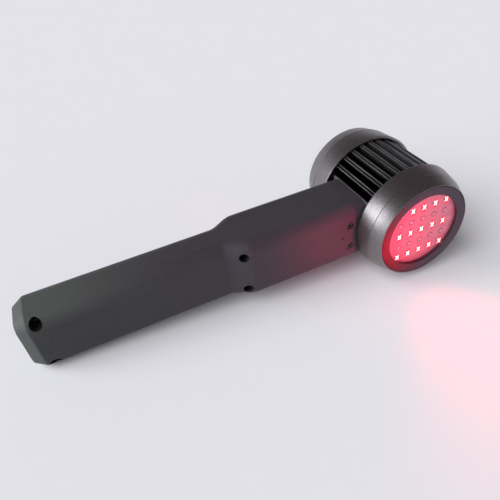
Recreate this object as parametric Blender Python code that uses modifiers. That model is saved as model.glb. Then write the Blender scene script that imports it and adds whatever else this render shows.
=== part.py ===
"""A handheld laser therapy device: a round finned head with a grid of laser diodes, on a two-shell handle.

Units are metres. The device lies as it rests on a table: both head rings and the butt touch z = 0.
The device's own frame, before it is laid down, has its origin at the middle of the diode grid.
X runs along the handle to the head, Y runs from the emitting face to the back of the head, Z is up.
"""

import math

import bmesh
import bpy
from mathutils import Vector

# Clearances
fit_gap = 0.0003
cut_overrun = 0.0020
weld_distance = 0.000001

# Head, along its axis from the emitting face to the back
face_recess = 0.00265
front_taper_length = 0.0077
front_band_length = 0.01005
ring_spacing = 0.0400
rear_band_length = 0.0143
rear_taper_length = 0.01035

# Rings, from their widest edge inwards
ring_edge_radius = 0.0358
front_line_drop = 0.0019
face_taper_depth = 0.0051
rear_line_drop = 0.0013
back_taper_depth = 0.0040
ring_wall = 0.0020
ring_lip = 0.0004
ring_chamfer = 0.0006
bore_step_length = 0.00105
line_groove_width = 0.00035
line_groove_depth = 0.00025

# Emitter stack
face_ring_width = 0.0057
face_ring_chamfer = 0.0004
diode_pitch_share = 0.3292
diode_radius = 0.0015
diode_dome_height = 0.0004
diode_flange_radius = 0.0024
diode_flange_thickness = 0.0015
aperture_plate_thickness = 0.0020
emitter_board_clearance = 0.0015
board_screw_radius = 0.0010
board_screw_head_radius = 0.0018
board_screw_depth = 0.0060
board_screw_pitch_shares = ((1.5, -0.5), (-1.5, 0.5))

# Heat sink
sink_back_step = 0.0018
core_share = 0.5075
sink_flat_share = 0.806
fin_fork_depth = 0.0070
fin_groove_depth = 0.0050
fin_root_width = 0.0018
fin_stem_width = 0.0013
fin_tip_width = 0.0027
fin_groove_width = 0.0009
sink_pad_wall = 0.0037
sink_pad_root_share = 0.56

# Rear cover, with its posts on the same circle in the core as the cable's turn
cover_thickness = 0.0024
cover_recess = 0.0004
bore_circle_share = 0.647
cover_post_radius = 0.0032
cover_slot_width = 0.0024
cover_slot_margin = 0.0018
cover_rim = 0.0035
cover_screw_depth = 0.0080

# Screws of 3 mm thread, used for the shells, the plate and the cover
screw_radius = 0.0015
screw_head_radius = 0.0025
screw_head_height = 0.0024
screw_socket_radius = 0.0013
screw_socket_depth = 0.0012

# Mounting plate and neck collar
plate_thickness = 0.0010
plate_inset = 0.0001
plate_side_clearance = 0.0012
collar_length = 0.00675
collar_spigot_length = 0.0111
collar_wall_thickness = 0.0038
spigot_side_wall = 0.0067
pocket_clearance = 0.0010
plate_screw_share = 0.3148
plate_screw_depth = 0.0078

# Battery cells
cell_count = 2
cell_radius = 0.0091
cell_length = 0.0498
cell_edge = 0.0006
cell_terminal_radius = 0.0030
cell_terminal_height = 0.0008
cell_side_room = 0.0017
cell_rib_thickness = 0.0020
cell_rib_shares = (0.15, 0.85)
cell_stop_half_height = 0.0080

# Shell screws
shell_boss_radius = 0.0039
shell_screw_seat = 0.0040
shell_screw_length = 0.0120
neck_screw_setback = 0.00565
neck_screw_inset = 0.00755
neck_counterbore_radius = 0.00275
butt_screw_setback = 0.01035
butt_screw_inset = 0.0043
butt_counterbore_radius = 0.0031
boss_cell_clearance = 0.0012

# Collar screws on the front of the neck
collar_screw_distance = 0.0044
collar_screw_offset = 0.00764
collar_screw_radius = 0.00125
collar_screw_head_radius = 0.0018
collar_screw_head_height = 0.0013
collar_screw_length = 0.0080
collar_recess_radius = 0.0021
collar_recess_depth = 0.0017
collar_socket_radius = 0.0009
collar_socket_depth = 0.0008
dimple_distance = 0.00935
dimple_radius = 0.0007
dimple_depth = 0.0008

# Controls on the back of the neck
display_margin = 0.0074
display_length = 0.0300
display_height = 0.0180
display_rim = 0.0020
display_window_thickness = 0.0011
display_window_recess = 0.0013
display_module_thickness = 0.0030
display_button_clearance = 0.0036
button_radius = 0.0044
button_side_clearance = 0.0012
button_proud = 0.0010
button_edge = 0.0005
button_flange_width = 0.0012
button_flange_thickness = 0.0010
button_travel = 0.0006
switch_side = 0.0060
board_thickness = 0.0016
board_end_margin = 0.0032
board_side_clearance = 0.0012
board_post_radius = 0.0020
board_post_inset = 0.0024

# Driver board at the front of the neck
driver_board_length_share = 0.88
driver_board_height_share = 0.90
driver_post_height = 0.0038
driver_coil_side = 0.0100
driver_coil_height = 0.0042
driver_chip_side = 0.0070
driver_chip_height = 0.0016

# Handle
handle_share = 0.4875
neck_side_clearance = 0.0009
neck_corner_radius = 0.0072
neck_end_margin = 0.00495
grip_corner_radius = 0.0091
grip_spare_length = 0.0034
flare_length = 0.0160
flare_height = 0.0005
shell_wall = 0.0026
butt_chamfer_length = 0.0060
butt_chamfer_depth = 0.0038
butt_wall = 0.0050

# Charging socket in the butt
socket_radius = 0.0040
socket_bore_radius = 0.0031
socket_bore_depth = 0.0090
socket_pin_radius = 0.0010
socket_pin_length = 0.0080
socket_length = 0.0122
socket_flange_radius = 0.0056
socket_flange_thickness = 0.0015
socket_recess = 0.0002

# Cable from the driver board to the emitter board
cable_radius = 0.0014
cable_bore_clearance = 0.0008
cable_bend_radius = 0.0030
cable_rise_length = 0.0100

# Counts
diode_rows = 5
fin_count = 32
missing_fin_count = 7
cover_slot_count = 12
cover_screw_count = 3
ring_segments = 64
round_segments = 24
bore_segments = 16
small_segments = 10
corner_segments = 5
flare_steps = 6
cable_rise_steps = 8
cable_bend_steps = 6

# Radii of the head, from the widest edge of its rings
ring_face_radius = ring_edge_radius - face_taper_depth
front_line_radius = ring_edge_radius - front_line_drop
rear_line_radius = ring_edge_radius - rear_line_drop
ring_back_radius = ring_edge_radius - back_taper_depth
fin_bore_radius = ring_edge_radius - ring_wall
fin_radius = fin_bore_radius - fit_gap
fin_fork_radius = fin_radius - fin_fork_depth
fin_groove_radius = fin_radius - fin_groove_depth
core_radius = fin_radius * core_share
sink_flat_distance = fin_radius * sink_flat_share
lip_radius = ring_face_radius - ring_lip
face_ring_radius = lip_radius - fit_gap
window_radius = face_ring_radius - face_ring_width
emitter_board_radius = face_ring_radius - emitter_board_clearance
diode_pitch = window_radius * diode_pitch_share
board_screw_places = [(x * diode_pitch, z * diode_pitch) for x, z in board_screw_pitch_shares]
cover_post_circle_radius = core_radius * bore_circle_share
cover_slot_start_radius = cover_post_circle_radius + cover_post_radius + cover_slot_margin
cover_slot_end_radius = face_ring_radius - cover_rim
cable_turn_distance = core_radius * bore_circle_share
cable_bore_radius = cable_radius + cable_bore_clearance
plate_screw_offset = sink_flat_distance * plate_screw_share
sink_pad_half_height = plate_screw_offset + screw_radius + fit_gap + sink_pad_wall
sink_pad_root_half_height = core_radius * sink_pad_root_share

# Places along the head's axis
front_face_y = -face_recess
front_line_y = front_face_y + front_taper_length
front_edge_y = front_line_y + front_band_length
rear_edge_y = front_edge_y + ring_spacing
rear_line_y = rear_edge_y + rear_band_length
back_y = rear_line_y + rear_taper_length
flange_y = aperture_plate_thickness + fit_gap
board_y = flange_y + diode_flange_thickness + fit_gap
board_back_y = front_line_y + bore_step_length
emitter_board_thickness = board_back_y - board_y
sink_y = board_back_y + fit_gap
sink_back_y = rear_line_y - sink_back_step
sink_length = sink_back_y - sink_y
cover_y = back_y - cover_recess - cover_thickness

# The handle's thickness: the neck from the room between the rings, the grip from its cells
handle_distance = ring_spacing * handle_share
handle_y = front_edge_y + handle_distance
ring_room = min(handle_distance, ring_spacing - handle_distance)
neck_half_depth = ring_room - neck_side_clearance
plate_half_width = ring_room - plate_side_clearance
butt_screw_offset = cell_radius + fit_gap + boss_cell_clearance + shell_boss_radius
grip_half_depth = cell_radius + fit_gap + cell_side_room + shell_wall
grip_half_height = butt_screw_offset + butt_screw_inset
neck_half_height = grip_half_height + flare_height
neck_screw_offset = neck_half_height - neck_screw_inset
plate_half_height = neck_half_height - plate_inset
collar_pocket_half_depth = neck_half_depth - shell_wall - fit_gap - spigot_side_wall
collar_pocket_half_height = plate_screw_offset + screw_head_radius + pocket_clearance
plate_screw_length = collar_wall_thickness + plate_thickness + 3 * fit_gap + plate_screw_depth

# Lengths along the handle: the neck holds the controls, the grip holds the cells
button_flange_radius = button_radius + button_flange_width
button_offset = button_flange_radius + button_side_clearance
control_distance = collar_spigot_length + display_margin + display_length / 2
button_distance = control_distance + display_length / 2 + display_button_clearance + button_radius
neck_length = button_distance + button_radius + neck_end_margin
grip_length = cell_count * cell_length + grip_spare_length
controls_length = button_distance + button_flange_radius - control_distance + display_length / 2
control_board_length = controls_length + 2 * board_end_margin
control_board_height = 2 * (neck_half_height - shell_wall - board_side_clearance)
driver_board_length = control_board_length * driver_board_length_share
driver_board_height = control_board_height * driver_board_height_share

# Places along the handle
plate_x = -sink_flat_distance - fit_gap - plate_thickness
collar_x = plate_x - fit_gap - collar_length
seam_x = collar_x - fit_gap
flare_x = seam_x - neck_length
grip_x = flare_x - flare_length
chamfer_x = grip_x - grip_length
butt_x = chamfer_x - butt_chamfer_length
cavity_x = butt_x + butt_wall
neck_screw_x = flare_x - neck_screw_setback
butt_screw_x = butt_x + butt_screw_setback
neck_back_y = handle_y + neck_half_depth
neck_back_inner_y = neck_back_y - shell_wall
neck_front_y = handle_y - neck_half_depth
neck_front_inner_y = neck_front_y + shell_wall
socket_x = butt_x + socket_recess
cell_start_x = socket_x + socket_length + fit_gap

# The device lies on its rings and on the lower edge of its butt
butt_reach = math.hypot(chamfer_x, grip_half_height)
rest_tilt = math.asin(ring_edge_radius / butt_reach) - math.atan2(grip_half_height, -chamfer_x)
butt_end_x = butt_x * math.cos(rest_tilt) - (grip_half_height - butt_chamfer_depth) * math.sin(rest_tilt)
rest_x = -(ring_edge_radius + butt_end_x) / 2
rest_y = -(front_face_y + back_y) / 2


def clear_scene():
    for obj in list(bpy.data.objects):
        bpy.data.objects.remove(obj)


def new_collection(name):
    collection = bpy.data.collections.new(name)
    bpy.context.scene.collection.children.link(collection)
    return collection


clear_scene()
parts = new_collection("laser_therapy_device")
cutters = new_collection("cutters")
root = bpy.data.objects.new("device", None)
parts.objects.link(root)
root.location = (rest_x, rest_y, ring_edge_radius)
root.rotation_euler = (0, -rest_tilt, 0)


def material(name, colour, roughness, metallic):
    """A plain surface in the part's colour, given in linear light."""
    found = bpy.data.materials.new(name)
    found.use_nodes = True
    shader = found.node_tree.nodes["Principled BSDF"]
    shader.inputs["Base Color"].default_value = (*colour, 1)
    shader.inputs["Roughness"].default_value = roughness
    shader.inputs["Metallic"].default_value = metallic
    found.diffuse_color = (*colour, 1)
    return found


RING_METAL = ((0.10, 0.10, 0.105), 0.36, 0.9)
FIN_METAL = ((0.02, 0.02, 0.022), 0.35, 0.8)
PLATE_METAL = ((0.55, 0.55, 0.56), 0.35, 1.0)
SCREW_METAL = ((0.05, 0.05, 0.05), 0.4, 0.9)
NYLON = ((0.045, 0.047, 0.048), 0.6, 0.0)
FACE_METAL = ((0.075, 0.06, 0.08), 0.5, 0.3)
WHITE_PLATE = ((0.82, 0.80, 0.80), 0.5, 0.0)
RED_LENS = ((0.9, 0.05, 0.08), 0.2, 0.0)
DARK_LENS = ((0.55, 0.35, 0.40), 0.2, 0.0)
BOARD_GREEN = ((0.02, 0.12, 0.05), 0.5, 0.0)
CELL_BLUE = ((0.03, 0.12, 0.35), 0.35, 0.1)
BLACK_PLASTIC = ((0.02, 0.02, 0.02), 0.45, 0.0)
RUBBER = ((0.03, 0.03, 0.03), 0.7, 0.0)
CABLE_JACKET = ((0.02, 0.02, 0.02), 0.5, 0.0)


def place(obj, location=(0, 0, 0), rotation=(0, 0, 0)):
    obj.parent = root
    obj.location = location
    obj.rotation_euler = rotation
    return obj


def add_part(name, mesh, look, location=(0, 0, 0), rotation=(0, 0, 0)):
    obj = bpy.data.objects.new(name, mesh)
    parts.objects.link(obj)
    if not mesh.materials:
        mesh.materials.append(material(name, *look))
    return place(obj, location, rotation)


def add_cutter(name, mesh, location=(0, 0, 0), rotation=(0, 0, 0)):
    obj = bpy.data.objects.new(name, mesh)
    cutters.objects.link(obj)
    obj.hide_render = True
    obj.display_type = "WIRE"
    return place(obj, location, rotation)


def boolean(obj, other, operation="DIFFERENCE"):
    modifier = obj.modifiers.new(f"{operation.lower()}_{other.name}", "BOOLEAN")
    modifier.operation = operation
    modifier.object = other
    return obj


def shaded(mesh):
    mesh.shade_smooth()
    mesh.set_sharp_from_angle(angle=math.radians(32))
    return mesh


def mesh_of(temporary, name):
    """The evaluated mesh of a helper object, welded, and the helper removed."""
    bpy.context.view_layer.update()
    graph = bpy.context.evaluated_depsgraph_get()
    mesh = bpy.data.meshes.new_from_object(temporary.evaluated_get(graph))
    mesh.name = name
    bpy.data.objects.remove(temporary)
    shape = bmesh.new()
    shape.from_mesh(mesh)
    bmesh.ops.remove_doubles(shape, verts=shape.verts, dist=weld_distance)
    shape.to_mesh(mesh)
    shape.free()
    return shaded(mesh)


def turned_mesh(name, profile, segments):
    """A solid turned about local Z. The profile is (radius, height), down the outer side from the top."""
    mesh = bpy.data.meshes.new(name)
    links = [(i, i + 1) for i in range(len(profile) - 1)]
    if profile[0][0] > 0 or profile[-1][0] > 0:
        links.append((len(profile) - 1, 0))
    mesh.from_pydata([(radius, 0, height) for radius, height in profile], links, [])
    temporary = bpy.data.objects.new(name, mesh)
    parts.objects.link(temporary)
    screw = temporary.modifiers.new("turn", "SCREW")
    screw.axis = "Z"
    screw.angle = 2 * math.pi
    screw.steps = segments
    screw.render_steps = segments
    screw.use_merge_vertices = True
    screw.merge_threshold = weld_distance
    return mesh_of(temporary, name)


def flat_mesh(name, outlines, thickness):
    """A plate in the local XY plane, centred on it. The first outline is its edge, the others are holes."""
    curve = bpy.data.curves.new(name, "CURVE")
    curve.dimensions = "2D"
    curve.fill_mode = "BOTH"
    curve.extrude = thickness / 2
    for outline in outlines:
        spline = curve.splines.new("POLY")
        spline.points.add(len(outline) - 1)
        spline.use_cyclic_u = True
        for point, (u, v) in zip(spline.points, outline):
            point.co = (u, v, 0, 1)
    temporary = bpy.data.objects.new(name, curve)
    parts.objects.link(temporary)
    return mesh_of(temporary, name)


def circle(centre, radius, segments):
    angles = (2 * math.pi * i / segments for i in range(segments))
    return [(centre[0] + radius * math.cos(a), centre[1] + radius * math.sin(a)) for a in angles]


def rounded_outline(half_width, half_height, radius, segments=corner_segments):
    """A rectangle with round corners, anticlockwise from its right side."""
    points = []
    for quarter, (sx, sy) in enumerate(((1, 1), (-1, 1), (-1, -1), (1, -1))):
        centre = (sx * (half_width - radius), sy * (half_height - radius))
        for step in range(segments + 1):
            angle = math.pi / 2 * (quarter + step / segments)
            points.append((centre[0] + radius * math.cos(angle), centre[1] + radius * math.sin(angle)))
    return points


ALONG_Y = (-math.pi / 2, 0, 0)
ALONG_X = (0, math.pi / 2, 0)
LEVEL_Y = (-math.pi / 2, rest_tilt, 0)


def in_y_plane(points):
    """Points given as (x, z), for a plate whose thickness runs along Y."""
    return [(x, -z) for x, z in points]


def in_x_plane(points):
    """Points given as (y, z), for a plate whose thickness runs along X."""
    return [(-z, y) for y, z in points]


def add_rod(shape, start, end, radius, segments=bore_segments):
    """A round bar between two places, added to a bmesh."""
    start = Vector(start)
    run = Vector(end) - start
    turn = run.to_track_quat("Z", "Y").to_matrix().to_4x4()
    turn.translation = start + run / 2
    bmesh.ops.create_cone(
        shape, cap_ends=True, segments=segments, radius1=radius, radius2=radius, depth=run.length, matrix=turn
    )


def add_block(shape, low, high):
    """A box between two opposite corners, added to a bmesh."""
    made = bmesh.ops.create_cube(shape, size=1)
    low = Vector(low)
    high = Vector(high)
    for vertex in made["verts"]:
        share = vertex.co + Vector((1, 1, 1)) / 2
        vertex.co = [low[i] + share[i] * (high[i] - low[i]) for i in range(3)]


def shape_mesh(name, rods=(), blocks=()):
    shape = bmesh.new()
    for rod in rods:
        add_rod(shape, *rod)
    for block in blocks:
        add_block(shape, *block)
    mesh = bpy.data.meshes.new(name)
    shape.to_mesh(mesh)
    shape.free()
    return mesh


def block_mesh(name, size, bevel=0):
    """A box about the local origin, with rounded edges where a bevel is given."""
    half = Vector(size) / 2
    mesh = shape_mesh(name, blocks=[(-half, half)])
    if bevel:
        temporary = bpy.data.objects.new(name, mesh)
        parts.objects.link(temporary)
        rounding = temporary.modifiers.new("edges", "BEVEL")
        rounding.width = bevel
        rounding.segments = 2
        mesh = mesh_of(temporary, name)
    return mesh


def loft_mesh(name, stations):
    """A closed skin through cross-sections with the same number of points, given as (x, [(y, z), ...])."""
    shape = bmesh.new()
    rings = [[shape.verts.new((x, y, z)) for y, z in outline] for x, outline in stations]
    count = len(rings[0])
    for near, far in zip(rings, rings[1:]):
        for i in range(count):
            j = (i + 1) % count
            shape.faces.new((near[i], near[j], far[j], far[i]))
    shape.faces.new(reversed(rings[0]))
    shape.faces.new(rings[-1])
    bmesh.ops.recalc_face_normals(shape, faces=shape.faces)
    mesh = bpy.data.meshes.new(name)
    shape.to_mesh(mesh)
    shape.free()
    return shaded(mesh)


def socket_screw_mesh(name, radius, length, head_radius, head_height, socket_radius, socket_depth):
    """A cap screw about local Z: the head's underside is at zero and the thread runs down."""
    profile = [
        (0, head_height),
        (head_radius, head_height),
        (head_radius, 0),
        (radius, 0),
        (radius, -length),
        (0, -length),
    ]
    temporary = bpy.data.objects.new(name, turned_mesh(name, profile, small_segments))
    parts.objects.link(temporary)
    hexagon = shape_mesh(
        "hexagon", [((0, 0, head_height - socket_depth), (0, 0, head_height + cut_overrun), socket_radius, 6)]
    )
    key = bpy.data.objects.new("hexagon", hexagon)
    parts.objects.link(key)
    boolean(temporary, key)
    mesh = mesh_of(temporary, name)
    bpy.data.objects.remove(key)
    return mesh


# The two turned rings that clasp the ends of the heat sink
def groove(radius, height):
    """A fine turned line round a ring, in profile from the higher side to the lower."""
    return [
        (radius, height + line_groove_width / 2),
        (radius - line_groove_depth, height),
        (radius, height - line_groove_width / 2),
    ]


front_ring_profile = [
    (ring_edge_radius - ring_chamfer, front_edge_y),
    (ring_edge_radius, front_edge_y - ring_chamfer),
    *groove(front_line_radius, front_line_y),
    (ring_face_radius, front_face_y),
    (lip_radius, front_face_y),
    (lip_radius, board_back_y),
    (fin_bore_radius, board_back_y),
    (fin_bore_radius, front_edge_y),
]
rear_step_y = sink_back_y + fit_gap
rear_ring_profile = [
    (ring_back_radius, back_y),
    *groove(rear_line_radius, rear_line_y),
    (ring_edge_radius, rear_edge_y + ring_chamfer),
    (ring_edge_radius - ring_chamfer, rear_edge_y),
    (fin_bore_radius, rear_edge_y),
    (fin_bore_radius, rear_step_y),
    (lip_radius, rear_step_y),
    (lip_radius, back_y),
]
add_part("front_ring", turned_mesh("front_ring", front_ring_profile, ring_segments), RING_METAL, rotation=LEVEL_Y)
add_part("rear_ring", turned_mesh("rear_ring", rear_ring_profile, ring_segments), RING_METAL, rotation=LEVEL_Y)

# The dark flat ring round the window
face_ring_profile = [
    (face_ring_radius, -fit_gap),
    (face_ring_radius, front_face_y),
    (window_radius + face_ring_chamfer, front_face_y),
    (window_radius, front_face_y + face_ring_chamfer),
    (window_radius, -fit_gap),
]
add_part("face_ring", turned_mesh("face_ring", face_ring_profile, ring_segments), FACE_METAL, rotation=LEVEL_Y)

# The white plate with a hole for each diode, and the diodes behind it
middle_row = (diode_rows - 1) / 2
diode_places = [
    ((column - middle_row) * diode_pitch, (middle_row - row) * diode_pitch, row)
    for row in range(diode_rows)
    for column in range(diode_rows)
]
plate_outlines = [in_y_plane(circle((0, 0), face_ring_radius, ring_segments))]
for x, z, _ in diode_places:
    plate_outlines.append(in_y_plane(circle((x, z), diode_radius + fit_gap, small_segments)))
add_part(
    "aperture_plate",
    flat_mesh("aperture_plate", plate_outlines, aperture_plate_thickness),
    WHITE_PLATE,
    (0, aperture_plate_thickness / 2, 0),
    ALONG_Y,
)
diode_profile = [
    (0, flange_y + diode_flange_thickness),
    (diode_flange_radius, flange_y + diode_flange_thickness),
    (diode_flange_radius, flange_y),
    (diode_radius, flange_y),
    (diode_radius, diode_dome_height / 2),
    (0, -diode_dome_height / 2),
]
lit_mesh = turned_mesh("red_diode", diode_profile, small_segments)
dark_mesh = turned_mesh("infrared_diode", diode_profile, small_segments)
counts = {"red": 0, "infrared": 0}
for x, z, row in diode_places:
    kind = "red" if row % 2 == 0 else "infrared"
    counts[kind] += 1
    diode = add_part(
        f"{kind}_diode_{counts[kind]:02d}",
        lit_mesh if kind == "red" else dark_mesh,
        RED_LENS if kind == "red" else DARK_LENS,
        (x, 0, z),
        ALONG_Y,
    )

# The emitter board and its two screws into the heat sink
board_outlines = [in_y_plane(circle((0, 0), emitter_board_radius, ring_segments))]
for place_xz in board_screw_places:
    board_outlines.append(in_y_plane(circle(place_xz, board_screw_radius + fit_gap, small_segments)))
add_part(
    "emitter_board",
    flat_mesh("emitter_board", board_outlines, emitter_board_thickness),
    BOARD_GREEN,
    (0, board_y + emitter_board_thickness / 2, 0),
    ALONG_Y,
)
board_screw_head_height = board_y - flange_y - fit_gap
board_screw_length = fit_gap + emitter_board_thickness + fit_gap + board_screw_depth
board_screw_profile = [
    (0, board_screw_length),
    (board_screw_radius, board_screw_length),
    (board_screw_radius, 0),
    (board_screw_head_radius, 0),
    (board_screw_head_radius, -board_screw_head_height),
    (0, -board_screw_head_height),
]
board_screw_mesh = turned_mesh("board_screw", board_screw_profile, small_segments)
for number, (x, z) in enumerate(board_screw_places, 1):
    add_part(f"board_screw_{number}", board_screw_mesh, SCREW_METAL, (x, board_y - fit_gap, z), ALONG_Y)


# The heat sink: a core with forked fins, and a flat for the handle
def fin_outline():
    """The cross-section as (x, z): a core, fins forked at their tips, and a pad towards the handle."""
    points = []
    first = (missing_fin_count + 1) // 2
    for number in range(first, fin_count - first + 1):
        angle = math.pi + 2 * math.pi * number / fin_count
        along = Vector((math.cos(angle), math.sin(angle)))
        across = Vector((-math.sin(angle), math.cos(angle)))
        for radius, offset in (
            (core_radius, -fin_root_width / 2),
            (fin_fork_radius, -fin_stem_width / 2),
            (fin_radius, -fin_tip_width / 2),
            (fin_radius, -fin_groove_width / 2),
            (fin_groove_radius, 0),
            (fin_radius, fin_groove_width / 2),
            (fin_radius, fin_tip_width / 2),
            (fin_fork_radius, fin_stem_width / 2),
            (core_radius, fin_root_width / 2),
        ):
            reach = math.sqrt(radius * radius - offset * offset)
            points.append(tuple(along * reach + across * offset))
    pad_root_x = -math.sqrt(core_radius * core_radius - sink_pad_root_half_height * sink_pad_root_half_height)
    points.append((pad_root_x, sink_pad_root_half_height))
    points.append((-sink_flat_distance, sink_pad_half_height))
    points.append((-sink_flat_distance, -sink_pad_half_height))
    points.append((pad_root_x, -sink_pad_root_half_height))
    return points


heat_sink = add_part(
    "heat_sink",
    flat_mesh("heat_sink", [in_y_plane(fin_outline())], sink_length),
    FIN_METAL,
    (0, sink_y + sink_length / 2, 0),
    ALONG_Y,
)
plate_screw_tip_x = collar_x + collar_length - collar_wall_thickness + plate_screw_length + fit_gap
cover_screw_angles = [math.pi / 2 + 2 * math.pi * i / cover_screw_count for i in range(cover_screw_count)]
cover_screw_places = [
    (cover_post_circle_radius * math.cos(a), cover_post_circle_radius * math.sin(a)) for a in cover_screw_angles
]
sink_rods = [
    (
        (-sink_flat_distance - cut_overrun, handle_y, 0),
        (-cable_turn_distance, handle_y, 0),
        cable_bore_radius,
    ),
    (
        (-cable_turn_distance, sink_y - cut_overrun, 0),
        (-cable_turn_distance, handle_y + cable_bore_radius, 0),
        cable_bore_radius,
    ),
]
for side in (-1, 1):
    z = side * plate_screw_offset
    start = (-sink_flat_distance - cut_overrun, handle_y, z)
    sink_rods.append((start, (plate_screw_tip_x, handle_y, z), screw_radius + fit_gap, small_segments))
for x, z in board_screw_places:
    end = (x, board_back_y + fit_gap + board_screw_depth + fit_gap, z)
    sink_rods.append(((x, sink_y - cut_overrun, z), end, board_screw_radius + fit_gap, small_segments))
for x, z in cover_screw_places:
    end = (x, sink_back_y - cover_screw_depth - fit_gap, z)
    sink_rods.append(((x, sink_back_y + cut_overrun, z), end, screw_radius + fit_gap, small_segments))
for number, rod in enumerate(sink_rods, 1):
    boolean(heat_sink, add_cutter(f"sink_bore_{number}", shape_mesh(f"sink_bore_{number}", [rod])))

# The rear cover, on three posts that stand on the heat sink, with its screws
rear_cover = add_part(
    "rear_cover",
    turned_mesh(
        "rear_cover",
        [
            (0, cover_y + cover_thickness),
            (face_ring_radius, cover_y + cover_thickness),
            (face_ring_radius, cover_y),
            (0, cover_y),
        ],
        ring_segments,
    ),
    RING_METAL,
    rotation=LEVEL_Y,
)
post_end_y = cover_y + cover_thickness / 2
post_rods = [((x, rear_step_y, z), (x, post_end_y, z), cover_post_radius) for x, z in cover_screw_places]
boolean(rear_cover, add_cutter("cover_posts", shape_mesh("cover_posts", post_rods)), "UNION")
slots = shape_mesh(
    "cover_slots",
    blocks=[
        (
            (cover_slot_start_radius, cover_y - cut_overrun, -cover_slot_width / 2),
            (cover_slot_end_radius, back_y + cut_overrun, cover_slot_width / 2),
        )
    ],
)
for number in range(cover_slot_count):
    angle = 2 * math.pi * number / cover_slot_count
    boolean(rear_cover, add_cutter(f"cover_slot_{number + 1}", slots, rotation=(0, angle, 0)))
cover_screw_seat_y = back_y - cover_recess - screw_head_height / 2
for number, (x, z) in enumerate(cover_screw_places, 1):
    end = (x, back_y + cut_overrun, z)
    hole = ((x, rear_step_y - cut_overrun, z), end, screw_radius + fit_gap, small_segments)
    seat = ((x, cover_screw_seat_y - fit_gap, z), end, screw_head_radius + fit_gap)
    boolean(rear_cover, add_cutter(f"cover_hole_{number}", shape_mesh(f"cover_hole_{number}", [hole])))
    boolean(rear_cover, add_cutter(f"cover_seat_{number}", shape_mesh(f"cover_seat_{number}", [seat])))
cover_screw_length = cover_screw_seat_y - sink_back_y + cover_screw_depth
cover_screw_mesh = socket_screw_mesh(
    "cover_screw",
    screw_radius,
    cover_screw_length,
    screw_head_radius,
    screw_head_height / 2,
    screw_socket_radius,
    screw_socket_depth / 2,
)
for number, (x, z) in enumerate(cover_screw_places, 1):
    add_part(f"cover_screw_{number}", cover_screw_mesh, SCREW_METAL, (x, cover_screw_seat_y, z), ALONG_Y)

# The flat plate between the heat sink and the handle
plate_edge = [
    (-plate_half_width, -plate_half_height),
    (plate_half_width, -plate_half_height),
    (plate_half_width, plate_half_height),
    (-plate_half_width, plate_half_height),
]
plate_holes = [circle((0, 0), cable_bore_radius, bore_segments)]
for side in (-1, 1):
    plate_holes.append(circle((0, side * plate_screw_offset), screw_radius + fit_gap, small_segments))
plate_outlines = [in_x_plane(outline) for outline in (plate_edge, *plate_holes)]
add_part(
    "mounting_plate",
    flat_mesh("mounting_plate", plate_outlines, plate_thickness),
    PLATE_METAL,
    (plate_x + plate_thickness / 2, handle_y, 0),
    ALONG_X,
)

# The collar that carries the handle: a block with a spigot inside the shells
collar = add_part(
    "neck_collar",
    flat_mesh(
        "neck_collar",
        [in_x_plane(rounded_outline(neck_half_depth, neck_half_height, neck_corner_radius))],
        collar_length,
    ),
    NYLON,
    (collar_x + collar_length / 2, handle_y, 0),
    ALONG_X,
)
spigot_inset = shell_wall + fit_gap
spigot_end_x = seam_x - collar_spigot_length
spigot_start_x = collar_x + collar_length / 4
spigot = add_cutter(
    "collar_spigot",
    flat_mesh(
        "collar_spigot",
        [
            in_x_plane(
                rounded_outline(
                    neck_half_depth - spigot_inset,
                    neck_half_height - spigot_inset,
                    neck_corner_radius - spigot_inset,
                )
            )
        ],
        spigot_start_x - spigot_end_x,
    ),
    ((spigot_start_x + spigot_end_x) / 2, handle_y, 0),
    ALONG_X,
)
boolean(collar, spigot, "UNION")
collar_face_x = collar_x + collar_length
pocket_x = collar_face_x - collar_wall_thickness
pocket = (
    (spigot_end_x - cut_overrun, handle_y - collar_pocket_half_depth, -collar_pocket_half_height),
    (pocket_x, handle_y + collar_pocket_half_depth, collar_pocket_half_height),
)
boolean(collar, add_cutter("collar_pocket", shape_mesh("collar_pocket", blocks=[pocket])))
through = cut_overrun + collar_wall_thickness
collar_rods = [((pocket_x - cut_overrun, handle_y, 0), (pocket_x + through, handle_y, 0), cable_bore_radius)]
for side in (-1, 1):
    z = side * plate_screw_offset
    start = (pocket_x - cut_overrun, handle_y, z)
    collar_rods.append((start, (pocket_x + through, handle_y, z), screw_radius + fit_gap, small_segments))
collar_screw_x = seam_x - collar_screw_distance
for side in (-1, 1):
    z = side * collar_screw_offset
    start = (collar_screw_x, neck_front_y, z)
    end = (collar_screw_x, handle_y - collar_pocket_half_depth + cut_overrun, z)
    collar_rods.append((start, end, collar_screw_radius + fit_gap, small_segments))
for number, rod in enumerate(collar_rods, 1):
    boolean(collar, add_cutter(f"collar_bore_{number}", shape_mesh(f"collar_bore_{number}", [rod])))

# The screws from the collar's pocket through the plate into the heat sink
plate_screw_mesh = socket_screw_mesh(
    "plate_screw",
    screw_radius,
    plate_screw_length,
    screw_head_radius,
    screw_head_height,
    screw_socket_radius,
    screw_socket_depth,
)
HEAD_TO_HANDLE = (0, -math.pi / 2, 0)
for number, side in enumerate((1, -1), 1):
    add_part(
        f"plate_screw_{number}",
        plate_screw_mesh,
        SCREW_METAL,
        (pocket_x - fit_gap, handle_y, side * plate_screw_offset),
        HEAD_TO_HANDLE,
    )


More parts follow.
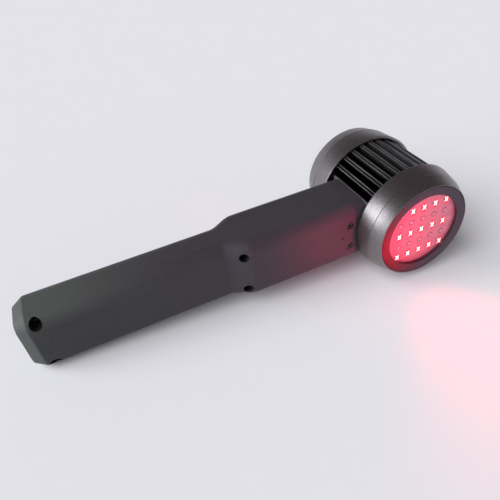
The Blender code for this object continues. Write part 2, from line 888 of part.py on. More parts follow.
# The handle shells: lofted through rounded cross-sections, split at the middle plane
def half_outline(half_depth, half_height, radius, side, start):
    """Half of a rounded cross-section as (y, z): side is -1 for the front and 1 for the back."""
    points = [(start, half_height)]
    for quarter, sign in ((0, 1), (1, -1)):
        centre = (half_depth - radius, sign * (half_height - radius))
        for step in range(corner_segments + 1):
            angle = math.pi / 2 * (1 - quarter - step / corner_segments)
            points.append((centre[0] + radius * math.cos(angle), centre[1] + radius * math.sin(angle)))
    points.append((start, -half_height))
    return [(handle_y + side * depth, z) for depth, z in points]


def section_at(share):
    """Half depth, half height and corner radius, from the grip at 0 to the neck at 1, along an S curve."""
    bend = share * share * (3 - 2 * share)
    pairs = (
        (grip_half_depth, neck_half_depth),
        (grip_half_height, neck_half_height),
        (grip_corner_radius, neck_corner_radius),
    )
    return [near + bend * (far - near) for near, far in pairs]


def handle_stations(side, start, inset, first_x, last_x):
    """Cross-sections from the butt to the seam, each drawn in by the inset."""
    stations = [(grip_x + share * flare_length, section_at(share)) for share in flare_shares]
    stations = [(first_x, section_at(0))] + stations + [(last_x, section_at(1))]
    return [(x, half_outline(*(size - inset for size in sizes), side, start)) for x, sizes in stations]


flare_shares = [step / flare_steps for step in range(flare_steps + 1)]
butt_section = [size - butt_chamfer_depth for size in section_at(0)]
shell_screw_places = [
    (neck_screw_x, neck_screw_offset, neck_counterbore_radius),
    (neck_screw_x, -neck_screw_offset, neck_counterbore_radius),
    (butt_screw_x, butt_screw_offset, butt_counterbore_radius),
    (butt_screw_x, -butt_screw_offset, butt_counterbore_radius),
]
cell_end_x = cell_start_x + cell_count * cell_length + (cell_count - 1) * fit_gap
cell_rib_places = [
    cell_start_x + cell * (cell_length + fit_gap) + share * cell_length
    for cell in range(cell_count)
    for share in cell_rib_shares
]
control_x = seam_x - control_distance
button_x = seam_x - button_distance
control_board_y = neck_back_inner_y - fit_gap - display_module_thickness - fit_gap - board_thickness
control_board_x = (button_x - button_flange_radius + control_x + display_length / 2) / 2
driver_board_y = neck_front_inner_y + driver_post_height + fit_gap
driver_board_x = control_board_x


def post_places(centre_x, length, height):
    return [
        (centre_x + sx * (length / 2 - board_post_inset), sz * (height / 2 - board_post_inset))
        for sx in (-1, 1)
        for sz in (-1, 1)
    ]


def shell(name, side, posts, post_y):
    """One half of the handle, hollow, with its bosses, battery ribs, end stop and board posts."""
    outer = [(butt_x, half_outline(*butt_section, side, fit_gap / 2))]
    outer += handle_stations(side, fit_gap / 2, 0, chamfer_x, seam_x)
    made = add_part(name, loft_mesh(name, outer), NYLON)
    hollow_name = f"{name}_hollow"
    inner = handle_stations(side, -cut_overrun, shell_wall, cavity_x, seam_x + cut_overrun)
    hollow = add_cutter(hollow_name, loft_mesh(hollow_name, inner))
    far_y = handle_y + side * (neck_half_depth + cut_overrun)
    near_y = handle_y - side * 2 * cut_overrun
    for number, (x, z, _) in enumerate(shell_screw_places, 1):
        rod = ((x, near_y, z), (x, far_y, z), shell_boss_radius)
        boolean(hollow, add_cutter(f"{name}_boss_{number}", shape_mesh(f"{name}_boss_{number}", [rod])))
    for number, (x, z) in enumerate(posts, 1):
        rod = ((x, post_y, z), (x, far_y, z), board_post_radius, small_segments)
        boolean(hollow, add_cutter(f"{name}_post_{number}", shape_mesh(f"{name}_post_{number}", [rod])))
    for number, x in enumerate(cell_rib_places, 1):
        block = (
            (x - cell_rib_thickness / 2, min(near_y, far_y), -neck_half_height),
            (x + cell_rib_thickness / 2, max(near_y, far_y), neck_half_height),
        )
        boolean(hollow, add_cutter(f"{name}_rib_{number}", shape_mesh(f"{name}_rib_{number}", blocks=[block])))
    stop_x = cell_end_x + fit_gap
    block = (
        (stop_x, min(near_y, far_y), -cell_stop_half_height),
        (stop_x + cell_rib_thickness, max(near_y, far_y), cell_stop_half_height),
    )
    boolean(hollow, add_cutter(f"{name}_stop", shape_mesh(f"{name}_stop", blocks=[block])))
    boolean(made, hollow)
    bed = ((cell_start_x - fit_gap, handle_y, 0), (stop_x, handle_y, 0), cell_radius + fit_gap, round_segments)
    boolean(made, add_cutter(f"{name}_bed", shape_mesh(f"{name}_bed", [bed])))
    port = ((butt_x - cut_overrun, handle_y, 0), (cavity_x + cut_overrun, handle_y, 0), socket_radius + fit_gap)
    boolean(made, add_cutter(f"{name}_port", shape_mesh(f"{name}_port", [port])))
    return made


control_posts = post_places(control_board_x, control_board_length, control_board_height)
driver_posts = post_places(driver_board_x, driver_board_length, driver_board_height)
front_shell = shell("handle_front_shell", -1, driver_posts, neck_front_inner_y + driver_post_height)
rear_shell = shell("handle_rear_shell", 1, control_posts, control_board_y + board_thickness + fit_gap)


def cut_holes(obj, rods=(), blocks=()):
    for number, rod in enumerate(rods, 1):
        name = f"{obj.name}_hole_{number}"
        boolean(obj, add_cutter(name, shape_mesh(name, [rod])))
    for number, block in enumerate(blocks, 1):
        name = f"{obj.name}_opening_{number}"
        boolean(obj, add_cutter(name, shape_mesh(name, blocks=[block])))


seat_y = handle_y - shell_screw_seat
front_rods = []
rear_rods = []
thread_end_y = seat_y + shell_screw_length
for x, z, counterbore_radius in shell_screw_places:
    outside_y = neck_front_y - cut_overrun
    front_rods.append(((x, outside_y, z), (x, seat_y, z), counterbore_radius))
    end = (x, handle_y + cut_overrun, z)
    front_rods.append(((x, seat_y - cut_overrun, z), end, screw_radius + fit_gap, small_segments))
    start = (x, handle_y - cut_overrun, z)
    rear_rods.append((start, (x, thread_end_y + fit_gap, z), screw_radius + fit_gap, small_segments))
for side in (-1, 1):
    z = side * collar_screw_offset
    start = (collar_screw_x, neck_front_y - cut_overrun, z)
    front_rods.append((start, (collar_screw_x, neck_front_y + collar_recess_depth, z), collar_recess_radius))
    end = (collar_screw_x, neck_front_inner_y + cut_overrun, z)
    front_rods.append((start, end, collar_screw_radius + fit_gap, small_segments))
dimple_x = seam_x - dimple_distance
start = (dimple_x, neck_front_y - cut_overrun, 0)
front_rods.append((start, (dimple_x, neck_front_y + dimple_depth, 0), dimple_radius, small_segments))
cut_holes(front_shell, front_rods)

# Openings for the display and the buttons in the back of the neck
half_length = display_length / 2
half_height = display_height / 2
pocket_y = neck_back_y - display_window_recess
display_pocket = (
    (control_x - half_length - fit_gap, pocket_y, -half_height - fit_gap),
    (control_x + half_length + fit_gap, neck_back_y + cut_overrun, half_height + fit_gap),
)
display_opening = (
    (control_x - half_length + display_rim, neck_back_inner_y - cut_overrun, -half_height + display_rim),
    (control_x + half_length - display_rim, neck_back_y + cut_overrun, half_height - display_rim),
)
button_places = {"power_button": button_offset, "mode_button": -button_offset}
for z in button_places.values():
    start = (button_x, neck_back_inner_y - cut_overrun, z)
    rear_rods.append((start, (button_x, neck_back_y + cut_overrun, z), button_radius + fit_gap, round_segments))
cut_holes(rear_shell, rear_rods, [display_pocket, display_opening])

# The screws that hold the shells together, and those into the collar
shell_screw_mesh = socket_screw_mesh(
    "shell_screw",
    screw_radius,
    shell_screw_length - fit_gap,
    screw_head_radius,
    screw_head_height,
    screw_socket_radius,
    screw_socket_depth,
)
HEAD_TO_FRONT = (math.pi / 2, 0, 0)
for number, (x, z, _) in enumerate(shell_screw_places, 1):
    add_part(f"shell_screw_{number}", shell_screw_mesh, SCREW_METAL, (x, seat_y - fit_gap, z), HEAD_TO_FRONT)
collar_screw_mesh = socket_screw_mesh(
    "collar_screw",
    collar_screw_radius,
    collar_screw_length,
    collar_screw_head_radius,
    collar_screw_head_height,
    collar_socket_radius,
    collar_socket_depth,
)
collar_seat_y = neck_front_y + collar_recess_depth - fit_gap
for number, side in enumerate((1, -1), 1):
    add_part(
        f"collar_screw_{number}",
        collar_screw_mesh,
        SCREW_METAL,
        (collar_screw_x, collar_seat_y, side * collar_screw_offset),
        HEAD_TO_FRONT,
    )

# The control board with its two switches, the display and its window
control_board = add_part(
    "control_board",
    block_mesh("control_board", (control_board_length, board_thickness, control_board_height)),
    BOARD_GREEN,
    (control_board_x, control_board_y + board_thickness / 2, 0),
)
flange_front_y = neck_back_inner_y - fit_gap - button_flange_thickness
switch_top_y = flange_front_y - button_travel - fit_gap
switch_blocks = [
    (
        (button_x - switch_side / 2, control_board_y + board_thickness / 2, z - switch_side / 2),
        (button_x + switch_side / 2, switch_top_y, z + switch_side / 2),
    )
    for z in button_places.values()
]
for number, block in enumerate(switch_blocks, 1):
    name = f"control_switch_{number}"
    boolean(control_board, add_cutter(name, shape_mesh(name, blocks=[block])), "UNION")
add_part(
    "display_module",
    block_mesh("display_module", (display_length, display_module_thickness, display_height)),
    BLACK_PLASTIC,
    (control_x, neck_back_inner_y - fit_gap - display_module_thickness / 2, 0),
)
add_part(
    "display_window",
    block_mesh("display_window", (display_length, display_window_thickness, display_height)),
    BLACK_PLASTIC,
    (control_x, pocket_y + fit_gap / 2 + display_window_thickness / 2, 0),
)

# The two push buttons, with their origins on their axes of travel
button_profile = [
    (0, button_proud),
    (button_radius - button_edge, button_proud),
    (button_radius, button_proud - button_edge),
    (button_radius, -shell_wall - fit_gap),
    (button_flange_radius, -shell_wall - fit_gap),
    (button_flange_radius, -shell_wall - fit_gap - button_flange_thickness),
    (0, -shell_wall - fit_gap - button_flange_thickness),
]
for name, z in button_places.items():
    add_part(name, turned_mesh(name, button_profile, round_segments), RUBBER, (button_x, neck_back_y, z), ALONG_Y)

# The driver board, with its coil and its chip
driver_board = add_part(
    "driver_board",
    block_mesh("driver_board", (driver_board_length, board_thickness, driver_board_height)),
    BOARD_GREEN,
    (driver_board_x, driver_board_y + board_thickness / 2, 0),
)
driver_blocks = [
    (
        (driver_board_x - driver_coil_side, driver_board_y + board_thickness / 2, -driver_coil_side / 2),
        (driver_board_x, driver_board_y + board_thickness + driver_coil_height, driver_coil_side / 2),
    ),
    (
        (driver_board_x - 2 * driver_chip_side - driver_coil_side / 2, driver_board_y + board_thickness / 2, 0),
        (
            driver_board_x - driver_chip_side - driver_coil_side / 2,
            driver_board_y + board_thickness + driver_chip_height,
            driver_chip_side,
        ),
    ),
]
for number, block in enumerate(driver_blocks, 1):
    name = f"driver_component_{number}"
    boolean(driver_board, add_cutter(name, shape_mesh(name, blocks=[block])), "UNION")

# The two battery cells, end to end in the grip
cell_profile = [
    (0, cell_length),
    (cell_terminal_radius, cell_length),
    (cell_terminal_radius, cell_length - cell_terminal_height),
    (cell_radius - cell_edge, cell_length - cell_terminal_height),
    (cell_radius, cell_length - cell_terminal_height - cell_edge),
    (cell_radius, 0),
    (0, 0),
]
cell_mesh = turned_mesh("battery_cell", cell_profile, round_segments)
for number in range(cell_count):
    x = cell_start_x + number * (cell_length + fit_gap)
    add_part(f"battery_cell_{number + 1}", cell_mesh, CELL_BLUE, (x, handle_y, 0), ALONG_X)

# The charging socket in the butt
socket_profile = [
    (0, socket_length),
    (socket_radius, socket_length),
    (socket_radius, cavity_x + fit_gap + socket_flange_thickness - socket_x),
    (socket_flange_radius, cavity_x + fit_gap + socket_flange_thickness - socket_x),
    (socket_flange_radius, cavity_x + fit_gap - socket_x),
    (socket_radius, cavity_x + fit_gap - socket_x),
    (socket_radius, 0),
    (socket_bore_radius, 0),
    (socket_bore_radius, socket_bore_depth),
    (socket_pin_radius, socket_bore_depth),
    (socket_pin_radius, socket_bore_depth - socket_pin_length),
    (0, socket_bore_depth - socket_pin_length),
]
add_part(
    "charge_socket",
    turned_mesh("charge_socket", socket_profile, bore_segments),
    BLACK_PLASTIC,
    (socket_x, handle_y, 0),
    ALONG_X,
)


# The cable from the driver board, through the collar and the plate, to the emitter board
def cable_points():
    start_y = driver_board_y + board_thickness + fit_gap + cable_radius
    start_x = spigot_end_x - cable_rise_length
    points = []
    for step in range(cable_rise_steps + 1):
        share = step / cable_rise_steps
        bend = share * share * (3 - 2 * share)
        points.append((start_x + share * cable_rise_length, start_y + bend * (handle_y - start_y), 0))
    turn_x = -cable_turn_distance - cable_bend_radius
    turn_y = handle_y - cable_bend_radius
    for step in range(cable_bend_steps + 1):
        angle = math.pi / 2 * step / cable_bend_steps
        x = turn_x + cable_bend_radius * math.sin(angle)
        points.append((x, turn_y + cable_bend_radius * math.cos(angle), 0))
    points.append((-cable_turn_distance, sink_y, 0))
    return points


cable_curve = bpy.data.curves.new("emitter_cable", "CURVE")
cable_curve.dimensions = "3D"
cable_curve.bevel_depth = cable_radius
cable_curve.bevel_resolution = 2
cable_curve.use_fill_caps = True
route = cable_points()
cable_spline = cable_curve.splines.new("POLY")
cable_spline.points.add(len(route) - 1)
for point, co in zip(cable_spline.points, route):
    point.co = (*co, 1)
cable = bpy.data.objects.new("cable_route", cable_curve)
parts.objects.link(cable)
add_part("emitter_cable", mesh_of(cable, "emitter_cable"), CABLE_JACKET)
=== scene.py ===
"""Looks of a handheld laser therapy device, built round its packed CAD model.

Pieces are drawn in the device's own frame: the origin is the middle of the diode grid, X runs along
the handle to the head, Y from the emitting face to the back and Z up. They are then laid down as the
CAD model lies. Lengths are metres.
"""

import math
from functools import partial

import bmesh
import bpy
from mathutils import Matrix, Vector


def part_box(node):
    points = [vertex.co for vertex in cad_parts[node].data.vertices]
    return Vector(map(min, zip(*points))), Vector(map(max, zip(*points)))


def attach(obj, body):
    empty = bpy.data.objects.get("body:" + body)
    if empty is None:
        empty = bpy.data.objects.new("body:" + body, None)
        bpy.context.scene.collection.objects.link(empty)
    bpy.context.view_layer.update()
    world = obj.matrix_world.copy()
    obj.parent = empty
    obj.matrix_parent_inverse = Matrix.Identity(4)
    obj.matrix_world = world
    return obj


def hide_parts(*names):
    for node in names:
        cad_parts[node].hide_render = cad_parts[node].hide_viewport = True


bl_info = {
    "name": "Laser therapy device",
    "version": (1, 0, 0),
    "blender": (4, 5, 0),
    "location": "3D View > Sidebar > Therapy device",
    "description": "Builds the visible pieces of a handheld laser therapy device",
    "category": "Object",
}

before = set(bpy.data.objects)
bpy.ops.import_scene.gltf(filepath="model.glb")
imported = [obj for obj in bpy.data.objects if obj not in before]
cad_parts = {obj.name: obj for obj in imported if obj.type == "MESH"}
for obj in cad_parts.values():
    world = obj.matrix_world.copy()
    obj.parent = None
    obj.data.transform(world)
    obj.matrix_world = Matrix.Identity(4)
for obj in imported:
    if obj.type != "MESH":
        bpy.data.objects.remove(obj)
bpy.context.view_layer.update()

# Segments and steps of the meshes
RING_SEGMENTS = 224
ROUND_SEGMENTS = 64
SCREW_SEGMENTS = 48
LENS_SEGMENTS = 32
CORNER_STEPS = 14
PLATE_CORNER_STEPS = 5
POCKET_CORNER_STEPS = 3
FLARE_STEPS = 28
ROUND_STEPS = 4
SLOT_STEPS = 12
DOME_STEPS = 8
PIN_STEPS = 5
SHARP_ANGLE = math.radians(34)

# Lengths that many pieces share. A broken edge is drawn in by the second number at the first one's depth
MM = 0.001
WELD = 1e-7
OVERRUN = 2 * MM
CAD_GAP = 0.3 * MM
BROKEN_EDGE = ((0, 0.18 * MM), (0.054 * MM, 0.054 * MM), (0.18 * MM, 0))

# A rounding takes up to this share of a neighbouring edge
ROOM_SHARE = 0.45

# Distances at which the fins' outline and their skin are welded, and the lightened band of their tips,
# partly scuffed bare and partly a painted highlight
OUTLINE_WELD = 0.02 * MM
SKIN_WELD = 0.005 * MM
TIP_WEAR_AND_HIGHLIGHT_START = 0.5 * MM
TIP_WEAR_AND_HIGHLIGHT_FADE = 0.3 * MM

# Shares that shape small features: the floor of a turned line, a slot's mouth, the dished button, and
# the rim, the mouth and the floor of a cap screw
GROOVE_FLOOR = 0.35
MOUTH_LENGTHENING = 0.03
MOUTH_WIDENING = 1.25
DISH_START, DISH_END = 0.72, 0.86
HEAD_CHAMFER = 0.12
SOCKET_MOUTH = 1.16
SOCKET_FLOOR = 0.45
SOCKET_CONE = 0.25

# How far a post reaches into the cover, and how a face is known as the wall of a hole
POST_ROOT = 0.5 * MM
UPRIGHT = 0.1
HOLE_FIT = 0.1 * MM

# Local Z turned to face the front, the back, or along the handle
FACE_FRONT = Matrix.Rotation(math.pi / 2, 4, "X")
FACE_BACK = Matrix.Rotation(-math.pi / 2, 4, "X")
FACE_HEAD = Matrix.Rotation(math.pi / 2, 4, "Y")


# Where the packed device lies, and the sizes read from its nodes
def box_middle(node):
    low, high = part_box(node)
    return (low + high) / 2


row_run = box_middle("red_diode_05") - box_middle("red_diode_01")
head_middle = box_middle("front_ring")
DEVICE = Matrix.Translation((head_middle.x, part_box("aperture_plate")[0].y, head_middle.z))
DEVICE = DEVICE @ Matrix.Rotation(-math.atan2(row_run.z, row_run.x), 4, "Y")
TO_DEVICE = DEVICE.inverted()


def device_box(node):
    """The lowest corner, the highest corner and the middle of a CAD node in the device's own frame."""
    places = [TO_DEVICE @ vertex.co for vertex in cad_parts[node].data.vertices]
    low = Vector([min(place[axis] for place in places) for axis in range(3)])
    high = Vector([max(place[axis] for place in places) for axis in range(3)])
    return low, high, (low + high) / 2


front_low, front_high, _ = device_box("front_ring")
rear_low, rear_high, _ = device_box("rear_ring")
sink_low, sink_high, _ = device_box("heat_sink")
cover_low, cover_high, _ = device_box("rear_cover")
plate_low, plate_high, plate_middle = device_box("mounting_plate")
collar_low, collar_high, _ = device_box("neck_collar")
shell_low, shell_high, _ = device_box("handle_front_shell")
window_low, window_high, window_middle = device_box("display_window")
window_half = window_high - window_middle
SHELL_SCREWS = [f"shell_screw_{i}" for i in (1, 2, 3, 4)]
COLLAR_SCREWS = ["collar_screw_1", "collar_screw_2"]
COVER_SCREWS = [f"cover_screw_{i}" for i in (1, 2, 3)]
PLATE_SCREWS = ["plate_screw_1", "plate_screw_2"]
BUTTONS = ["power_button", "mode_button"]


def lines_of(nodes):
    """Where some CAD nodes stand when seen from the front, as (x, z)."""
    middles = [device_box(node)[2] for node in nodes]
    return [(middle.x, middle.z) for middle in middles]


# Sizes and colours for the sidebar
def length(name, text, default, least=0.0):
    """A size in metres."""
    return bpy.props.FloatProperty(
        name=name, description=text, default=default, min=least, precision=5, unit="LENGTH"
    )


def place(name, text, default):
    """A coordinate in the device's own frame."""
    return length(name, text, default, -1.0)


def linear(code):
    """A colour as linear light with its alpha, from an sRGB hex value or from linear numbers."""
    if not isinstance(code, str):
        return [*code[:3], 1]
    values = [int(code[i : i + 2], 16) / 255 for i in (0, 2, 4)]
    return [v / 12.92 if v <= 0.04045 else ((v + 0.055) / 1.055) ** 2.4 for v in values] + [1]


def count_of(name, text, default):
    """A whole number of at least one."""
    return bpy.props.IntProperty(name=name, description=text, default=default, min=1)


def colour(name, text, code):
    """A colour, given as an sRGB hex value."""
    return bpy.props.FloatVectorProperty(
        name=name, description=text, default=linear(code)[:3], size=3, min=0, max=1, subtype="COLOR"
    )


class HeadSizes(bpy.types.PropertyGroup):
    """The turned rings and the window of the head."""

    edge_radius: length("Ring radius", "Widest radius of both rings", front_high.z)
    face_radius: length("Face radius", "Radius of the front ring at its face", 0.0307)
    front_line_radius: length("Front line radius", "Radius at the front ring's fine line", 0.0339)
    rear_line_radius: length("Rear line radius", "Radius at the rear ring's fine line", 0.0345)
    back_radius: length("Back radius", "Radius of the rear ring at its back", 0.0318)
    front_face: place("Front face", "Where the front ring's face is along the head", front_low.y)
    front_line: place("Front line", "Where the front ring's fine line is", 0.00505)
    front_edge: place("Front edge", "Where the front ring ends towards the fins", front_high.y)
    rear_edge: place("Rear edge", "Where the rear ring starts behind the fins", rear_low.y)
    rear_line: place("Rear line", "Where the rear ring's fine line is", 0.0694)
    back: place("Back", "Where the rear ring ends", rear_high.y)
    lip_radius: length("Lip radius", "Bore of the rings at their ends", 0.0303)
    sink_bore: length("Bore", "Bore of the rings round the fins", 0.0338)
    front_step: length("Front step", "From the front line to the step in the bore", 0.00105)
    rear_step: length("Rear step", "From the rear line to the step in the bore", 0.0015)
    window_radius: length("Window radius", "Radius of the window in the face ring", 0.0243)
    face_ring_radius: length("Face ring radius", "Outer radius of the flat face ring", 0.0300)
    line_width: length("Line width", "Width of the turned lines", 0.00042)
    line_depth: length("Line depth", "Depth of the turned lines", 0.00030)
    rounding: length("Edge rounding", "Rounding of the rings' edges", 0.00055)
    face_rounding: length("Face rounding", "Rounding of the face ring's edges", 0.00033)


class DiodeSizes(bpy.types.PropertyGroup):
    """The grid of diodes and the plate round them."""

    pitch: length("Pitch", "Distance between neighbouring diodes", row_run.length / 4)
    lens_radius: length("Lens radius", "Radius of a diode's lens", 0.0017)
    hole_radius: length("Hole radius", "Radius of the hole round a lens", 0.0018)
    dome: length("Dome height", "Height of a lens's dome, half of it in front of the plate", 0.00042)
    lens_depth: length("Lens depth", "How far a lens reaches behind the plate's face", 0.0023)
    flange_radius: length("Flange radius", "Radius of a diode's flange behind the plate", 0.0024)
    flange_depth: length("Flange thickness", "Thickness of that flange", 0.0015)
    plate_thickness: length("Plate thickness", "Thickness of the plate round the diodes", 0.0020)
    plate_rounding: length("Plate rounding", "Rounding of the plate's edges", 0.00008)


class SinkSizes(bpy.types.PropertyGroup):
    """The finned heat sink."""

    fins: count_of("Fins", "How many fins stand round the core", 25)
    step: bpy.props.FloatProperty(
        name="Step",
        description="Angle from one fin to the next",
        default=math.radians(11.25),
        subtype="ANGLE",
    )
    core_radius: length("Core radius", "Radius of the solid core", 0.0170)
    fork_radius: length("Fork radius", "Where a fin widens towards its tip", 0.0265)
    groove_radius: length("Groove radius", "Bottom of the groove in a fin's tip", 0.0285)
    tip_radius: length("Tip radius", "Outer radius of the fins", sink_high.z)
    root_width: length("Root width", "Width of a fin at the core", 0.0018)
    stem_width: length("Stem width", "Width of a fin below its fork", 0.0013)
    tip_width: length("Tip width", "Width of a fin over both tips", 0.0027)
    groove_width: length("Groove width", "Width of the groove between the two tips", 0.0009)
    rounding: length("Rounding", "Rounding of the tips", 0.00022)
    pad_distance: length("Pad distance", "Distance of the flat pad from the axis", -sink_low.x)
    pad_half_height: length("Pad half height", "Half height of the pad at the plate", 0.0140)
    pad_root_half_height: length("Pad root", "Half height of the pad at the core", 0.0095)


class CoverSizes(bpy.types.PropertyGroup):
    """The slotted rear cover."""

    thickness: length("Thickness", "Thickness of the cover", 0.0024)
    rounding: length("Rounding", "Rounding of its rim", 0.0003)
    post_radius: length("Post radius", "Radius of the posts under its screws", 0.0032)
    screw_gap: length("Screw gap", "Gap round its screws", 0.0002)
    slots: count_of("Slots", "How many slots the cover has", 12)
    slot_start: length("Slot start", "Distance of a slot's inner end from the axis", 0.0160)
    slot_end: length("Slot end", "Distance of a slot's outer end from the axis", 0.0265)
    slot_width: length("Slot width", "Width of a slot", 0.0024)
    mouth_depth: length("Mouth depth", "Depth over which a slot widens to its mouth", 0.0003)


class HandleSizes(bpy.types.PropertyGroup):
    """The two shells of the handle, the collar and the plate."""

    middle: place("Middle plane", "Where the two shells part", device_box("battery_cell_1")[2].y)
    hairline: length("Hairline", "Gap that shows between the shells", 0.00003)
    neck_half_depth: length("Neck half depth", "Half of the neck along the head's axis", 0.0186)
    neck_half_height: length("Neck half height", "Half height of the neck", shell_high.z)
    neck_corner: length("Neck corner", "Corner radius of the neck", 0.0072)
    grip_half_depth: length("Grip half depth", "Half of the grip along the head's axis", 0.0137)
    grip_half_height: length("Grip half height", "Half height of the grip", 0.0188)
    grip_corner: length("Grip corner", "Corner radius of the grip", 0.0091)
    wall: length("Wall", "Thickness of the shells", 0.0026)
    neck_length: length("Neck length", "From the collar's seam to the flare", 0.06585)
    flare_length: length("Flare length", "Length over which the grip widens to the neck", 0.0160)
    chamfer_length: length("Butt chamfer length", "Length of the chamfer round the butt", 0.0060)
    chamfer_depth: length("Butt chamfer depth", "Depth of that chamfer", 0.0038)
    butt_wall: length("Butt wall", "Thickness of the butt's end wall", 0.0050)
    edge_rounding: length("Edge rounding", "Rounding of the end edges", 0.0006)
    seam_gap: length("Seam gap", "Gap that shows between the shells and the collar", 0.00016)
    boss_radius: length("Boss radius", "Radius of the bosses round the shell screws", 0.0039)
    neck_counterbore: length("Neck counterbore", "Radius of the screw holes at the flare", 0.00275)
    butt_counterbore: length("Butt counterbore", "Radius of the screw holes at the butt", 0.0031)
    recess_radius: length("Recess radius", "Radius of the collar screws' recesses", 0.0023)
    recess_depth: length("Recess depth", "Depth of those recesses", 0.0017)
    dimple_distance: length("Dimple distance", "Distance of the moulded dimple from the seam", 0.00935)
    dimple_radius: length("Dimple radius", "Radius of the dimple", 0.0007)
    dimple_depth: length("Dimple depth", "Depth of the dimple", 0.0008)
    spigot_chamfer: length("Spigot chamfer", "Chamfer on the collar's spigot", 0.0004)
    collar_rounding: length("Collar rounding", "Rounding of the collar at the plate", 0.0003)
    pocket_half_depth: length("Pocket half depth", "Half of the pocket along the head's axis", 0.0090)
    pocket_half_height: length("Pocket half height", "Half height of the collar's pocket", 0.0120)
    pocket_corner: length("Pocket corner", "Corner radius of the collar's pocket", 0.0010)
    collar_wall: length("Collar wall", "Thickness of the collar behind its pocket", 0.0038)
    collar_bore_end: length("Collar bore end", "From the middle plane to the screws' bores", 0.0080)
    plate_corner: length("Plate corner", "Corner radius of the mounting plate", 0.0006)
    plate_edge: length("Plate edge", "Rounding of the mounting plate's edges", 0.00016)
    cable_hole: length("Cable hole", "Radius of the cable's hole in the plate", 0.0022)
    plate_screw_hole: length("Plate screw hole", "Radius of the screws' holes in the plate", 0.0018)


class ControlSizes(bpy.types.PropertyGroup):
    """The display, the buttons and the charging socket."""

    window_corner: length("Window corner", "Corner radius of the display window", 0.0014)
    window_rounding: length("Window rounding", "Rounding of the window's edges", 0.00035)
    window_gap: length("Window gap", "Gap round the display window", 0.0002)
    pocket_depth: length("Pocket depth", "Depth of the pocket that holds the window", 0.0013)
    button_radius: length("Button radius", "Radius of both buttons", 0.0044)
    button_gap: length("Button gap", "Gap round the buttons", 0.00025)
    button_flange: length("Button flange", "Radius of the flange inside the shell", 0.0056)
    flange_thickness: length("Button flange thickness", "Thickness of that flange", 0.0010)
    button_proud: length("Button height", "How far the buttons stand out", 0.0010)
    button_rounding: length("Button rounding", "Rounding of the buttons' edges", 0.00045)
    dish: length("Button dish", "Depth of the dished top", 0.00030)
    mark_radius: length("Mark radius", "Radius of the marks on the buttons", 0.0015)
    mark_width: length("Mark width", "Width of the marks' lines", 0.00042)
    mark_height: length("Mark height", "How far the marks stand out", 0.00016)
    socket_radius: length("Socket radius", "Outer radius of the charging socket", 0.0040)
    socket_bore: length("Socket bore", "Bore of the charging socket", 0.0031)
    socket_depth: length("Socket depth", "Depth of that bore", 0.0090)
    socket_flange: length("Socket flange", "Thickness of the socket's flange", 0.0015)
    socket_rounding: length("Socket rounding", "Rounding of the socket's edges", 0.0002)
    port_gap: length("Port gap", "Gap round the socket", 0.00015)
    pin_radius: length("Pin radius", "Radius of the socket's pin", 0.0010)
    pin_setback: length("Pin setback", "Distance of the pin's tip from the socket's face", 0.0011)


class ScrewSizes(bpy.types.PropertyGroup):
    """Cap screws with hexagon sockets."""

    radius: length("Thread radius", "Radius of the large screws' threads", 0.0015)
    head_radius: length("Head radius", "Radius of the large screws' heads", 0.0025)
    head_height: length("Head height", "Height of the large screws' heads", 0.0024)
    low_head_height: length("Low head height", "Height of the cover screws' heads", 0.0012)
    socket_radius: length("Socket radius", "Half width of the large screws' sockets", 0.00125)
    small_radius: length("Small thread radius", "Radius of the collar screws' threads", 0.00125)
    small_head_radius: length("Small head radius", "Radius of the collar screws' heads", 0.0018)
    small_head_height: length("Small head height", "Height of the collar screws' heads", 0.0013)
    small_socket_radius: length("Small socket radius", "Half width of their sockets", 0.0010)


class Finishes(bpy.types.PropertyGroup):
    """Main colours of the surfaces."""

    ring: colour("Rings", "Anodised rings", "726b6d")
    fins: colour("Heat sink", "Black anodised fins", "1b1a1c")
    face: colour("Face ring", "Flat ring round the window", "52464e")
    plate: colour("Plate", "Bare aluminium plate", "b4b2b4")
    nylon: colour("Handle", "Dark grey nylon on the sides of the grip", "2a2b2b")
    # The top tone is painted light: the grip's top and the butt are lighter where the light falls on
    # them
    nylon_top: colour("Handle top", "Nylon on the grip's top and the butt, rubbed lighter", "464848")
    # The head tone is painted red light on the neck
    nylon_head: colour("Handle near the head", "Nylon where the red light tints it", "322b34")
    glow: colour("Glow", "Light round each lit diode", "e4213f")
    table: colour("Table", "Pale table top", "e6e5ec")


GROUPS = {
    "therapy_head": HeadSizes,
    "therapy_diodes": DiodeSizes,
    "therapy_sink": SinkSizes,
    "therapy_cover": CoverSizes,
    "therapy_handle": HandleSizes,
    "therapy_controls": ControlSizes,
    "therapy_screws": ScrewSizes,
    "therapy_finishes": Finishes,
}


# Shapes
def rounded(points, radius, steps=ROUND_STEPS, closed=True, keep=()):
    """A polyline with its corners rounded, except those in keep, as (point, is it on a rounding)."""
    made = []
    last = len(points) - 1
    for i, point in enumerate(points):
        corner = Vector(point)
        if i in keep or (not closed and i in (0, last)):
            made.append((corner, 0.0))
            continue
        before = Vector(points[i - 1]) - corner
        after = Vector(points[i + 1 if i < last else 0]) - corner
        reach = radius / math.tan(before.angle(after) / 2)
        reach = min(reach, before.length * ROOM_SHARE, after.length * ROOM_SHARE)
        start = corner + before.normalized() * reach
        end = corner + after.normalized() * reach
        for step in range(steps + 1):
            share = step / steps
            made.append((start.lerp(corner, share).lerp(corner.lerp(end, share), share), 1.0))
    return made


def quarter_turn(steps):
    """The sine and cosine of even angles from none to a right angle."""
    angles = [math.pi / 2 * i / steps for i in range(steps + 1)]
    return [(math.sin(angle), math.cos(angle)) for angle in angles]


def unworn(*points):
    """Points of a profile that are on no lightened edge."""
    return [(point, 0.0) for point in points]


def smoothed(mesh):
    mesh.shade_smooth()
    mesh.set_sharp_from_angle(angle=SHARP_ANGLE)
    return mesh


